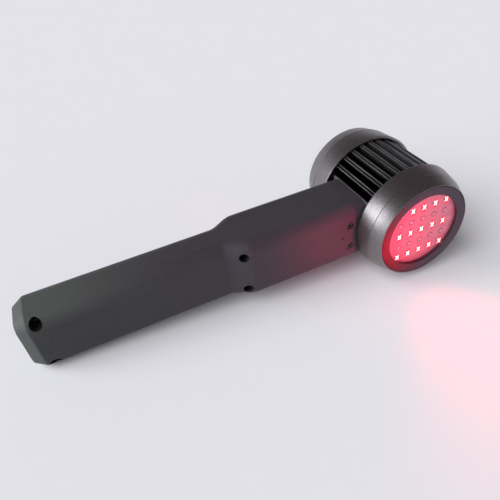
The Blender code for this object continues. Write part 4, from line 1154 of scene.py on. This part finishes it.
class THERAPY_OT_finishes(Undoable, bpy.types.Operator):
    """Make the finishes, and give the inner CAD nodes theirs"""

    bl_idname = "therapy.finishes"
    bl_label = "Finishes"

    def execute(self, context):
        make_finishes(context.scene)
        for node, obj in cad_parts.items():
            for start, finish in INNER_FINISHES.items():
                if node.startswith(start):
                    for slot in obj.material_slots:
                        slot.material = finishes[finish]
        return {"FINISHED"}


class THERAPY_OT_rings(Undoable, bpy.types.Operator):
    """Turn the front ring, the rear ring and the flat ring round the window"""

    bl_idname = "therapy.rings"
    bl_label = "Rings"

    def execute(self, context):
        s = context.scene.therapy_head

        def groove(radius, height):
            side, floor = s.line_width / 2, s.line_width / 2 * GROOVE_FLOOR
            steps = ((0, side), (s.line_depth, floor), (s.line_depth, -floor), (0, -side))
            return [(radius - deep, height + off) for deep, off in steps]

        front_seat, rear_seat = s.front_line + s.front_step, s.rear_line - s.rear_step
        front = [
            (s.sink_bore, s.front_edge),
            (s.edge_radius, s.front_edge),
            *groove(s.front_line_radius, s.front_line),
            (s.face_radius, s.front_face),
            (s.lip_radius, s.front_face),
            (s.lip_radius, front_seat),
            (s.sink_bore, front_seat),
        ]
        rear = [
            (s.lip_radius, s.back),
            (s.back_radius, s.back),
            *groove(s.rear_line_radius, s.rear_line),
            (s.edge_radius, s.rear_edge),
            (s.sink_bore, s.rear_edge),
            (s.sink_bore, rear_seat),
            (s.lip_radius, rear_seat),
        ]
        face = [
            (s.face_ring_radius, -CAD_GAP),
            (s.face_ring_radius, s.front_face),
            (s.window_radius, s.front_face),
            (s.window_radius, -CAD_GAP),
        ]
        metal, dark = "anodised_aluminium_blasted", "anodised_sheet_dark"
        for name, outline, soft, finish, slot in (
            ("front_ring", front, s.rounding, metal, "ring_metal"),
            ("rear_ring", rear, s.rounding, metal, "ring_metal"),
            ("face_ring", face, s.face_rounding, dark, "face_metal"),
        ):
            mesh = turned(f"turned_{name}", rounded(outline, soft), RING_SEGMENTS, closed=True)
            show(f"turned_{name}", moved(mesh, FACE_BACK), [finish], [name])
        return {"FINISHED"}


class THERAPY_OT_window_plate(Undoable, bpy.types.Operator):
    """Cut the diffusing plate with a softened hole for each diode"""

    bl_idname = "therapy.window_plate"
    bl_label = "Diffusing plate"

    def execute(self, context):
        s, head = context.scene.therapy_diodes, context.scene.therapy_head
        soft = s.plate_rounding
        curve = bpy.data.curves.new("plate", "CURVE")
        curve.dimensions = "2D"
        curve.fill_mode = "BOTH"
        curve.extrude = s.plate_thickness / 2 - soft
        curve.bevel_depth = soft
        curve.bevel_resolution = 1
        circles = [(0, 0, head.face_ring_radius - soft, RING_SEGMENTS)]
        for column in range(-2, 3):
            for row in range(-2, 3):
                circles.append((column * s.pitch, row * s.pitch, s.hole_radius + soft, LENS_SEGMENTS))
        for x, y, radius, segments in circles:
            spline = curve.splines.new("POLY")
            spline.points.add(segments - 1)
            spline.use_cyclic_u = True
            for i, point in enumerate(spline.points):
                angle = 2 * math.pi * i / segments
                point.co = (x + radius * math.cos(angle), y + radius * math.sin(angle), 0, 1)
        shape = bmesh.new()
        shape.from_mesh(evaluated(linked("plate", curve)))
        lift = Matrix.Translation((0, s.plate_thickness / 2, 0))
        mesh = moved(finished(shape, "diffusing_plate"), FACE_FRONT, lift)
        show("diffusing_plate", mesh, ["diffusing_acrylic"], ["aperture_plate"])
        return {"FINISHED"}


class THERAPY_OT_diodes(Undoable, bpy.types.Operator):
    """Set the red and the infrared diodes on their grid"""

    bl_idname = "therapy.diodes"
    bl_label = "Diodes"

    def execute(self, context):
        s = context.scene.therapy_diodes
        dome = [(s.lens_radius * out, s.dome * (up - 0.5)) for out, up in quarter_turn(DOME_STEPS)]
        front, back = -s.lens_depth, -s.lens_depth - s.flange_depth
        base = ((s.lens_radius, front), (s.flange_radius, front), (s.flange_radius, back), (0, back))
        for name, node, columns, rows, finish, slot in (
            ("red_diodes", "red_diode", 5, 3, "epoxy_lens_lit", "red_lens"),
            ("infrared_diodes", "infrared_diode", 5, 2, "epoxy_lens_unlit", "clear_lens"),
        ):
            lens = turned(name, unworn(*dome, *base), LENS_SEGMENTS)
            disc = lens.uv_layers.new(name="disc")
            for loop in lens.loops:
                place_of = lens.vertices[loop.vertex_index].co
                disc.data[loop.index].uv = [place_of[i] / s.lens_radius / 2 + 0.5 for i in (0, 1)]
            grid = {"Columns": columns, "Rows": rows, "Column Pitch": s.pitch, "Row Pitch": 2 * s.pitch}
            made = grown(name, grid_tree(), lens, {**grid, "Finish": finishes[finish]})
            nodes = [f"{node}_{i:02d}" for i in range(1, columns * rows + 1)]
            show(name, moved(made, FACE_FRONT), [finish], nodes)
        return {"FINISHED"}


class THERAPY_OT_heat_sink(Undoable, bpy.types.Operator):
    """Draw the finned heat sink out of its outline"""

    bl_idname = "therapy.heat_sink"
    bl_label = "Heat sink"

    def execute(self, context):
        s = context.scene.therapy_sink

        def on_core(angle):
            return (s.core_radius * math.cos(angle), s.core_radius * math.sin(angle))

        side = [
            on_core(s.step / 2),
            on_core((s.step + s.root_width / s.core_radius) / 4),
            (s.core_radius, s.root_width / 2),
            (s.fork_radius, s.stem_width / 2),
            (s.tip_radius, s.tip_width / 2),
            (s.tip_radius, s.groove_width / 2),
            (s.groove_radius, 0),
        ]
        corners = side + [(x, -y) for x, y in reversed(side[:-1])]
        outline = rounded(corners, s.rounding, 3, closed=False, keep=(1, len(corners) - 2))
        fin = bpy.data.meshes.new("fin_outline")
        fin.from_pydata([(*point, 0) for point, _ in outline], edges_along(outline), [])
        last = s.step * s.fins / 2
        root = math.sqrt(s.core_radius**2 - s.pad_root_half_height**2)
        pad = [on_core(last), (-root, s.pad_root_half_height), (-s.pad_distance, s.pad_half_height)]
        pad += [(x, -y) for x, y in reversed(pad)]
        pad_outline = helper("pad_outline", [(*point, 0) for point in pad], edges_along(pad))
        finish = "anodised_extrusion_black"
        sizes = {"Pad": pad_outline, "Fins": s.fins, "Step": s.step, "Depth": sink_high.y - sink_low.y}
        made = grown("heat_sink_fins", fins_tree(), fin, {**sizes, "Finish": finishes[finish]})
        bpy.data.objects.remove(pad_outline)
        # The fins' tips are lighter, partly scuffed bare and partly a painted highlight
        wear_and_highlight = made.attributes.new("wear_and_highlight", "FLOAT", "POINT")
        for vertex in made.vertices:
            past = math.hypot(vertex.co.x, vertex.co.y) - s.tip_radius + TIP_WEAR_AND_HIGHLIGHT_START
            wear_and_highlight.data[vertex.index].value = min(1, max(0, past / TIP_WEAR_AND_HIGHLIGHT_FADE))
        lift = Matrix.Translation((0, sink_high.y, 0))
        show("finned_heat_sink", moved(made, FACE_FRONT, lift), [finish], ["heat_sink"])
        return {"FINISHED"}


class THERAPY_OT_rear_cover(Undoable, bpy.types.Operator):
    """Cut the slotted rear cover and set its screws"""

    bl_idname = "therapy.rear_cover"
    bl_label = "Rear cover"

    def execute(self, context):
        s, screws = context.scene.therapy_cover, context.scene.therapy_screws
        low, high = cover_high.y - s.thickness, cover_high.y
        edge = context.scene.therapy_head.face_ring_radius
        disc = rounded([(0, high), (edge, high), (edge, low), (0, low)], s.rounding, closed=False)
        made = moved(turned("cover", disc, RING_SEGMENTS), FACE_BACK)
        top = device_box(COVER_SCREWS[0])[1].y
        seat = top - screws.low_head_height
        posts = []
        cuts = []
        for line in lines_of(COVER_SCREWS):
            posts.append(bore(line, cover_low.y, low + POST_ROOT, s.post_radius))
            cuts.append(bore(line, seat - CAD_GAP, top + OVERRUN, screws.head_radius + s.screw_gap))
            shank = screws.radius + s.screw_gap
            cuts.append(bore(line, cover_low.y - OVERRUN, seat, shank, LENS_SEGMENTS))
        half = s.slot_width / 2
        outline = []
        for centre, start in ((s.slot_end - half, -90), (s.slot_start + half, 90)):
            for step in range(SLOT_STEPS + 1):
                angle = math.radians(start + 180 * step / SLOT_STEPS)
                outline.append((centre + half * math.cos(angle), half * math.sin(angle)))
        middle = (s.slot_start + s.slot_end) / 2
        mouth = [(x + (x - middle) * MOUTH_LENGTHENING, z * MOUTH_WIDENING) for x, z in outline]
        sections = (
            (outline, low - OVERRUN),
            (outline, high - s.mouth_depth),
            (mouth, high),
            (mouth, high + OVERRUN),
        )
        slot = [[(x, y, z) for x, z in section] for section, y in sections]
        for i in range(s.slots):
            cuts.append(moved(lofted("slot", slot), Matrix.Rotation(2 * math.pi / s.slots * i, 4, "Y")))
        name = "slotted_rear_cover"
        made = solid(name, made, cuts=cuts, joins=posts)
        show(name, made, ["anodised_aluminium_blasted"], ["rear_cover"])
        head = (screws.head_radius, screws.low_head_height, screws.socket_radius)
        set_screws("cover_screws", COVER_SCREWS, FACE_BACK, screws.radius, *head)
        return {"FINISHED"}


class THERAPY_OT_mounting_plate(Undoable, bpy.types.Operator):
    """Mill the flat plate between the heat sink and the neck"""

    bl_idname = "therapy.mounting_plate"
    bl_label = "Mounting plate"

    def execute(self, context):
        s = context.scene.therapy_handle
        soft = s.plate_edge
        edge = ((0, soft), (0.4 * soft, 0.25 * soft), (soft, 0))
        rows = [(plate_low.x + depth, inset) for depth, inset in edge]
        rows += [(plate_high.x - depth, inset) for depth, inset in reversed(edge)]
        middle, half = plate_middle, plate_high - plate_middle
        plate = block("plate", "X", middle.yz, half.yz, s.plate_corner, rows, PLATE_CORNER_STEPS, 0)
        ends = (plate_low.x - OVERRUN, plate_high.x + OVERRUN)
        holes = [(0, s.cable_hole)] + [(z, s.plate_screw_hole) for _, z in lines_of(PLATE_SCREWS)]
        holes = [rod(*[(x, middle.y, z) for x in ends], radius) for z, radius in holes]
        name = "milled_mounting_plate"
        made = solid(name, plate, cuts=holes)
        show(name, made, ["milled_aluminium"], ["mounting_plate"])
        return {"FINISHED"}


class THERAPY_OT_neck_collar(Undoable, bpy.types.Operator):
    """Form the collar that carries the handle, with its spigot and its two screws"""

    bl_idname = "therapy.neck_collar"
    bl_label = "Neck collar"

    def execute(self, context):
        s, screws = context.scene.therapy_handle, context.scene.therapy_screws
        low, start, face = collar_low.x, shell_high.x + CAD_GAP, collar_high.x
        tuck = s.wall + CAD_GAP
        soft = s.collar_rounding
        rows = [
            (low, tuck + s.spigot_chamfer),
            (low + s.spigot_chamfer, tuck),
            (start, tuck),
            *[(start + depth, inset) for depth, inset in BROKEN_EDGE],
            (face - soft, 0),
            (face - soft / 3, soft / 3),
            (face, soft),
        ]
        middle = (s.middle, 0)
        halves = (s.neck_half_depth, s.neck_half_height)
        collar = block("collar", "X", middle, halves, s.neck_corner, rows)
        halves = (s.pocket_half_depth, s.pocket_half_height)
        ends = ((low - OVERRUN, 0), (face - s.collar_wall, 0))
        cuts = [block("pocket", "X", middle, halves, s.pocket_corner, ends, POCKET_CORNER_STEPS)]
        near = s.middle - s.neck_half_depth + OVERRUN
        x, z = lines_of(COLLAR_SCREWS)[0]
        for line in ((x, -z), (x, z)):
            cuts.append(bore(line, near, s.middle - s.collar_bore_end, screws.small_radius + CAD_GAP))
        name = "formed_neck_collar"
        made = solid(name, collar, cuts=cuts)
        show(name, made, ["sintered_nylon_collar"], ["neck_collar"])
        head = (screws.small_head_radius, screws.small_head_height, screws.small_socket_radius)
        set_screws("collar_screws", COLLAR_SCREWS, FACE_FRONT, screws.small_radius, *head)
        return {"FINISHED"}


class THERAPY_OT_handle_shells(Undoable, bpy.types.Operator):
    """Form the two shells of the handle with all their openings"""

    bl_idname = "therapy.handle_shells"
    bl_label = "Handle shells"

    def execute(self, context):
        s = context.scene.therapy_handle
        controls = context.scene.therapy_controls
        screws = context.scene.therapy_screws
        front, back = s.middle - s.neck_half_depth, s.middle + s.neck_half_depth
        outside = front - OVERRUN
        seat = device_box(SHELL_SCREWS[0])[0].y + screws.head_height + CAD_GAP

        def port():
            places = (shell_low.x - OVERRUN, shell_low.x + s.butt_wall + OVERRUN)
            return rod(*[(x, s.middle, 0) for x in places], controls.socket_radius + controls.port_gap)

        cuts = [port()]
        counterbores = (s.neck_counterbore, s.neck_counterbore, s.butt_counterbore, s.butt_counterbore)
        holes = list(zip(lines_of(SHELL_SCREWS), counterbores))
        for line, radius in holes:
            cuts.append(bore(line, outside, seat, radius))
            cuts.append(bore(line, seat - OVERRUN, s.middle + OVERRUN, screws.radius + CAD_GAP))
        for line in lines_of(COLLAR_SCREWS):
            holes.append((line, s.recess_radius))
            cuts.append(bore(line, outside, front + s.recess_depth, s.recess_radius))
            cuts.append(bore(line, front, front + s.wall + OVERRUN, screws.small_radius + CAD_GAP))
        dimple = (shell_high.x - s.dimple_distance, 0)
        cuts.append(bore(dimple, outside, front + s.dimple_depth, s.dimple_radius, LENS_SEGMENTS))
        made = shell_mesh("handle_front", -1, s, cuts)
        darken_holes(made, holes)
        coats = ["sintered_nylon", "sintered_nylon_painted_hole_shade"]
        show("handle_front", made, coats, ["handle_front_shell"])

        gap = controls.window_gap
        halves = (window_half.x + gap, window_half.z + gap)
        ends = ((back - controls.pocket_depth, 0), (back + OVERRUN, 0))
        corner = controls.window_corner + gap
        cuts = [port(), block("pocket", "Y", window_middle.xz, halves, corner, ends)]
        for line in lines_of(BUTTONS):
            radius = controls.button_radius + controls.button_gap
            cuts.append(bore(line, back - s.wall - OVERRUN, back + OVERRUN, radius))
        made = shell_mesh("handle_rear", 1, s, cuts)
        show("handle_rear", made, coats[:1], ["handle_rear_shell"])
        return {"FINISHED"}


class THERAPY_OT_shell_screws(Undoable, bpy.types.Operator):
    """Set the four screws that hold the shells together"""

    bl_idname = "therapy.shell_screws"
    bl_label = "Shell screws"

    def execute(self, context):
        s = context.scene.therapy_screws
        head = (s.head_radius, s.head_height, s.socket_radius)
        set_screws("shell_screws", SHELL_SCREWS, FACE_FRONT, s.radius, *head)
        return {"FINISHED"}


class THERAPY_OT_display(Undoable, bpy.types.Operator):
    """Lay the smoked window over the display"""

    bl_idname = "therapy.display"
    bl_label = "Display window"

    def execute(self, context):
        s = context.scene.therapy_controls
        soft = s.window_rounding
        rows = [(window_low.y, 0)]
        for up, out in quarter_turn(ROUND_STEPS):
            rows.append((window_high.y - soft * (1 - up), soft * (1 - out)))
        name = "smoked_display_window"
        mesh = block(name, "Y", window_middle.xz, window_half.xz, s.window_corner, rows)
        show(name, mesh, ["smoked_acrylic"], ["display_window"])
        return {"FINISHED"}


class THERAPY_OT_buttons(Undoable, bpy.types.Operator):
    """Mould the two push buttons with their raised marks"""

    bl_idname = "therapy.buttons"
    bl_label = "Buttons"

    def execute(self, context):
        s = context.scene.therapy_controls
        inside = -context.scene.therapy_handle.wall - CAD_GAP
        end = inside - s.flange_thickness
        top = s.button_proud
        floor = top - s.dish
        crest = floor + s.mark_height
        half = s.mark_width / 2
        band = ((-half, floor), (half, floor), (half, crest), (-half, crest))

        def arc(start, sweep, radius, steps):
            """A raised band that follows part of a circle. Angles are in degrees."""
            rows = []
            for step in range(steps + 1):
                angle = math.radians(start + sweep * step / steps)
                x, y = math.cos(angle), math.sin(angle)
                rows.append([(x * (radius + off), y * (radius + off), height) for off, height in band])
            return lofted("mark", rows)

        size = s.mark_radius
        bar = [[(x, y, height) for x, height in band] for y in (0.3 * size, 1.35 * size)]
        dot = 0.8 * s.mark_width
        dot = turned("mark", unworn((0, crest), (dot, crest), (dot, floor), (0, floor)), LENS_SEGMENTS)
        # A power sign, and a dot under two waves
        marks = {
            "power_button": [arc(125, 290, size, 40), lofted("mark", bar)],
            "mode_button": [arc(40, 100, 0.75 * size, 16), arc(40, 100, 1.35 * size, 20), dot],
        }
        profile = [
            (s.button_radius * DISH_START, floor),
            (s.button_radius * DISH_END, top),
            (s.button_radius, top),
            (s.button_radius, inside),
            (s.button_flange, inside),
            (s.button_flange, end),
        ]
        profile = rounded(profile, s.button_rounding, 6, closed=False)
        profile = [*unworn((0, floor)), *profile, *unworn((0, end))]
        for name in BUTTONS:
            _, high, middle = device_box(name)
            seat = Matrix.Translation((middle.x, high.y - top, middle.z))
            mesh = joined(name, [turned(name, profile)], marks[name])
            mesh = moved(mesh, Matrix.Rotation(math.pi, 4, "Z"), FACE_BACK, seat)
            coats = ["silicone_rubber", "printed_ink"]
            show(f"moulded_{name}", mesh, coats, [name], body=name)
        return {"FINISHED"}


class THERAPY_OT_charge_socket(Undoable, bpy.types.Operator):
    """Turn the charging socket in the butt, with its pin"""

    bl_idname = "therapy.charge_socket"
    bl_label = "Charging socket"

    def execute(self, context):
        s, handle = context.scene.therapy_controls, context.scene.therapy_handle
        low, high, middle = device_box("charge_socket")
        depth = high.x - low.x
        radius = high.z - middle.z
        flange = handle.butt_wall + CAD_GAP - (low.x - shell_low.x)
        barrel = [
            (s.socket_bore, s.socket_depth),
            (s.socket_bore, 0),
            (s.socket_radius, 0),
            (s.socket_radius, flange),
            (radius, flange),
            (radius, flange + s.socket_flange),
            (s.socket_radius, flange + s.socket_flange),
            (s.socket_radius, depth),
        ]
        barrel = rounded(barrel, s.socket_rounding, 3, closed=False)
        barrel = [*unworn((0, s.socket_depth)), *barrel, *unworn((0, depth))]
        size = s.pin_radius
        tip = [(size * out, s.pin_setback + size * (1 - up)) for out, up in quarter_turn(PIN_STEPS)]
        pin = unworn(*tip, (s.pin_radius, s.socket_depth), (0, s.socket_depth))
        mesh = joined("socket", [turned("barrel", barrel)], [turned("pin", pin, LENS_SEGMENTS)])
        mesh = moved(mesh, FACE_HEAD, Matrix.Translation((low.x, handle.middle, 0)))
        coats = ["moulded_abs_black", "nickel_plate"]
        show("turned_charge_socket", mesh, coats, ["charge_socket"])
        return {"FINISHED"}


# The photograph's camera in the device's own frame: right, up and back
CAMERA_AXES = ((0.9018, -0.4237, -0.0847), (0.3255, 0.5373, 0.7780), (-0.2841, -0.7292, 0.6225))
CAMERA_PLACE = (-0.1677, -0.1702, 0.1876)
CAMERA_LENS = 34.66
CAMERA_SENSOR = 36
CAMERA_SHIFT = (-0.02556, -0.04212)
CAMERA_NEAR = 0.01

# The table's half width. The studio's walls are pale up to the first height and its ceiling is dim above
# the second
TABLE_HALF_WIDTH = 3.0
WORLD_HEIGHTS = (0.10, 0.45)
WORLD_CEILING = "686062"

# Lamps: kind, place, aim, size or angle, power and colour. The window is seen in glossy surfaces alone
LAMPS = {
    "daylight": ("SUN", (-0.80, -0.08, 0.68), (0.0, 0.0, 0.0), math.radians(66), 4.34, "fafefc"),
    "low_window": ("AREA", (-2.00, 0.37, 0.50), (-0.05, 0.03, 0.0), 1.5, 30.0, "f6faff"),
    "emitter_light": ("AREA", (0.0, -0.0035, 0.0), (0.0, -0.1, -0.004), 0.046, 0.050, "ff1038"),
    "table_glow": ("AREA", (-0.008, -0.034, -0.0335), (-0.010, -0.003, 0.06), 0.040, 0.015, "ff0c34"),
    "neck_glow": ("AREA", (0.040, -0.200, -0.004), (-0.042, 0.016, 0.008), 0.05, 0.031, "ff1c74"),
}
SPREADS = {"emitter_light": math.radians(95), "neck_glow": math.radians(24)}
SEEN_IN_GLOSS = ("low_window", "table_glow")


class THERAPY_OT_stage(Undoable, bpy.types.Operator):
    """Set the table, the lamps and the camera"""

    bl_idname = "therapy.stage"
    bl_label = "Stage"

    def execute(self, context):
        scene = context.scene
        pale = linear(scene.therapy_finishes.table)
        # Coated board: pale and quite matt, with no mirror of the lamps
        grain = (2.0 * MM, (0.55, 0.65), 0.01 * MM)
        grained("coated_table_top", pale, lighter(pale, 0.03), *grain, Specular_IOR_Level=0.0)
        mesh = bpy.data.meshes.new("table")
        side = TABLE_HALF_WIDTH
        corners = [(-side, -side, 0), (side, -side, 0), (side, side, 0), (-side, side, 0)]
        mesh.from_pydata(corners, [], [(0, 1, 2, 3)])
        mesh.materials.append(finishes["coated_table_top"])
        table = linked("table", mesh)

        scene.world = bpy.data.worlds.new("studio")
        scene.world.use_nodes = True
        node = partial(add_node, scene.world.node_tree)
        direction = node("ShaderNodeTexCoord", out="Generated")
        height = node(SPLIT, [direction], "Z")
        shade = painted(node, pale, (height, *WORLD_HEIGHTS, 0, 1, linear(WORLD_CEILING)))
        feed(scene.world.node_tree.nodes["Background"].inputs, {"Color": shade})

        for name, (kind, where, toward, size, power, code) in LAMPS.items():
            data = bpy.data.lights.new(name, kind)
            data.energy = power
            data.color = linear(code)[:3]
            if kind == "SUN":
                data.angle = size
            else:
                data.shape = "DISK"
                data.size = size
                data.spread = SPREADS.get(name, data.spread)
            lamp = linked(name, data)
            lamp.location = DEVICE @ Vector(where)
            aim = DEVICE @ Vector(toward) - lamp.location
            lamp.rotation_euler = aim.to_track_quat("-Z", "Y").to_euler()
            lamp.visible_camera = False
            lamp.visible_glossy = name in SEEN_IN_GLOSS
            lamp.visible_diffuse = name != "low_window"

        data = bpy.data.cameras.new("camera")
        data.sensor_width = CAMERA_SENSOR
        data.lens = CAMERA_LENS
        data.shift_x, data.shift_y = CAMERA_SHIFT
        data.clip_start = CAMERA_NEAR
        scene.camera = linked("camera", data)
        local = Matrix(CAMERA_AXES).transposed().to_4x4()
        local.translation = Vector(CAMERA_PLACE)
        scene.camera.matrix_world = DEVICE @ local
        scene.view_settings.view_transform = "Standard"
        return {"FINISHED"}


class THERAPY_PT_device(bpy.types.Panel):
    """Lists the pieces, and the sizes and colours that shape them."""

    bl_label = "Therapy device"
    bl_space_type = "VIEW_3D"
    bl_region_type = "UI"
    bl_category = "Therapy device"

    def draw(self, context):
        column = self.layout.column(align=True)
        for operator in OPERATORS:
            column.operator(operator.bl_idname)
        for name, group in GROUPS.items():
            box = self.layout.box()
            box.label(text=group.__doc__)
            for field in group.__annotations__:
                box.prop(getattr(context.scene, name), field)


OPERATORS = (
    THERAPY_OT_finishes,
    THERAPY_OT_rings,
    THERAPY_OT_window_plate,
    THERAPY_OT_diodes,
    THERAPY_OT_heat_sink,
    THERAPY_OT_rear_cover,
    THERAPY_OT_mounting_plate,
    THERAPY_OT_neck_collar,
    THERAPY_OT_handle_shells,
    THERAPY_OT_shell_screws,
    THERAPY_OT_display,
    THERAPY_OT_buttons,
    THERAPY_OT_charge_socket,
    THERAPY_OT_stage,
)
CLASSES = (*GROUPS.values(), *OPERATORS, THERAPY_PT_device)


def register():
    for made in CLASSES:
        bpy.utils.register_class(made)
    for name, group in GROUPS.items():
        setattr(bpy.types.Scene, name, bpy.props.PointerProperty(type=group))


def unregister():
    for name in GROUPS:
        delattr(bpy.types.Scene, name)
    for made in reversed(CLASSES):
        bpy.utils.unregister_class(made)


def main():
    register()
    for name in ("Cube", "Light", "Camera"):
        if name in bpy.data.objects:
            bpy.data.objects.remove(bpy.data.objects[name])
    for operator in OPERATORS:
        group, call = operator.bl_idname.split(".")
        getattr(getattr(bpy.ops, group), call)()


if __name__ == "__main__":
    main()
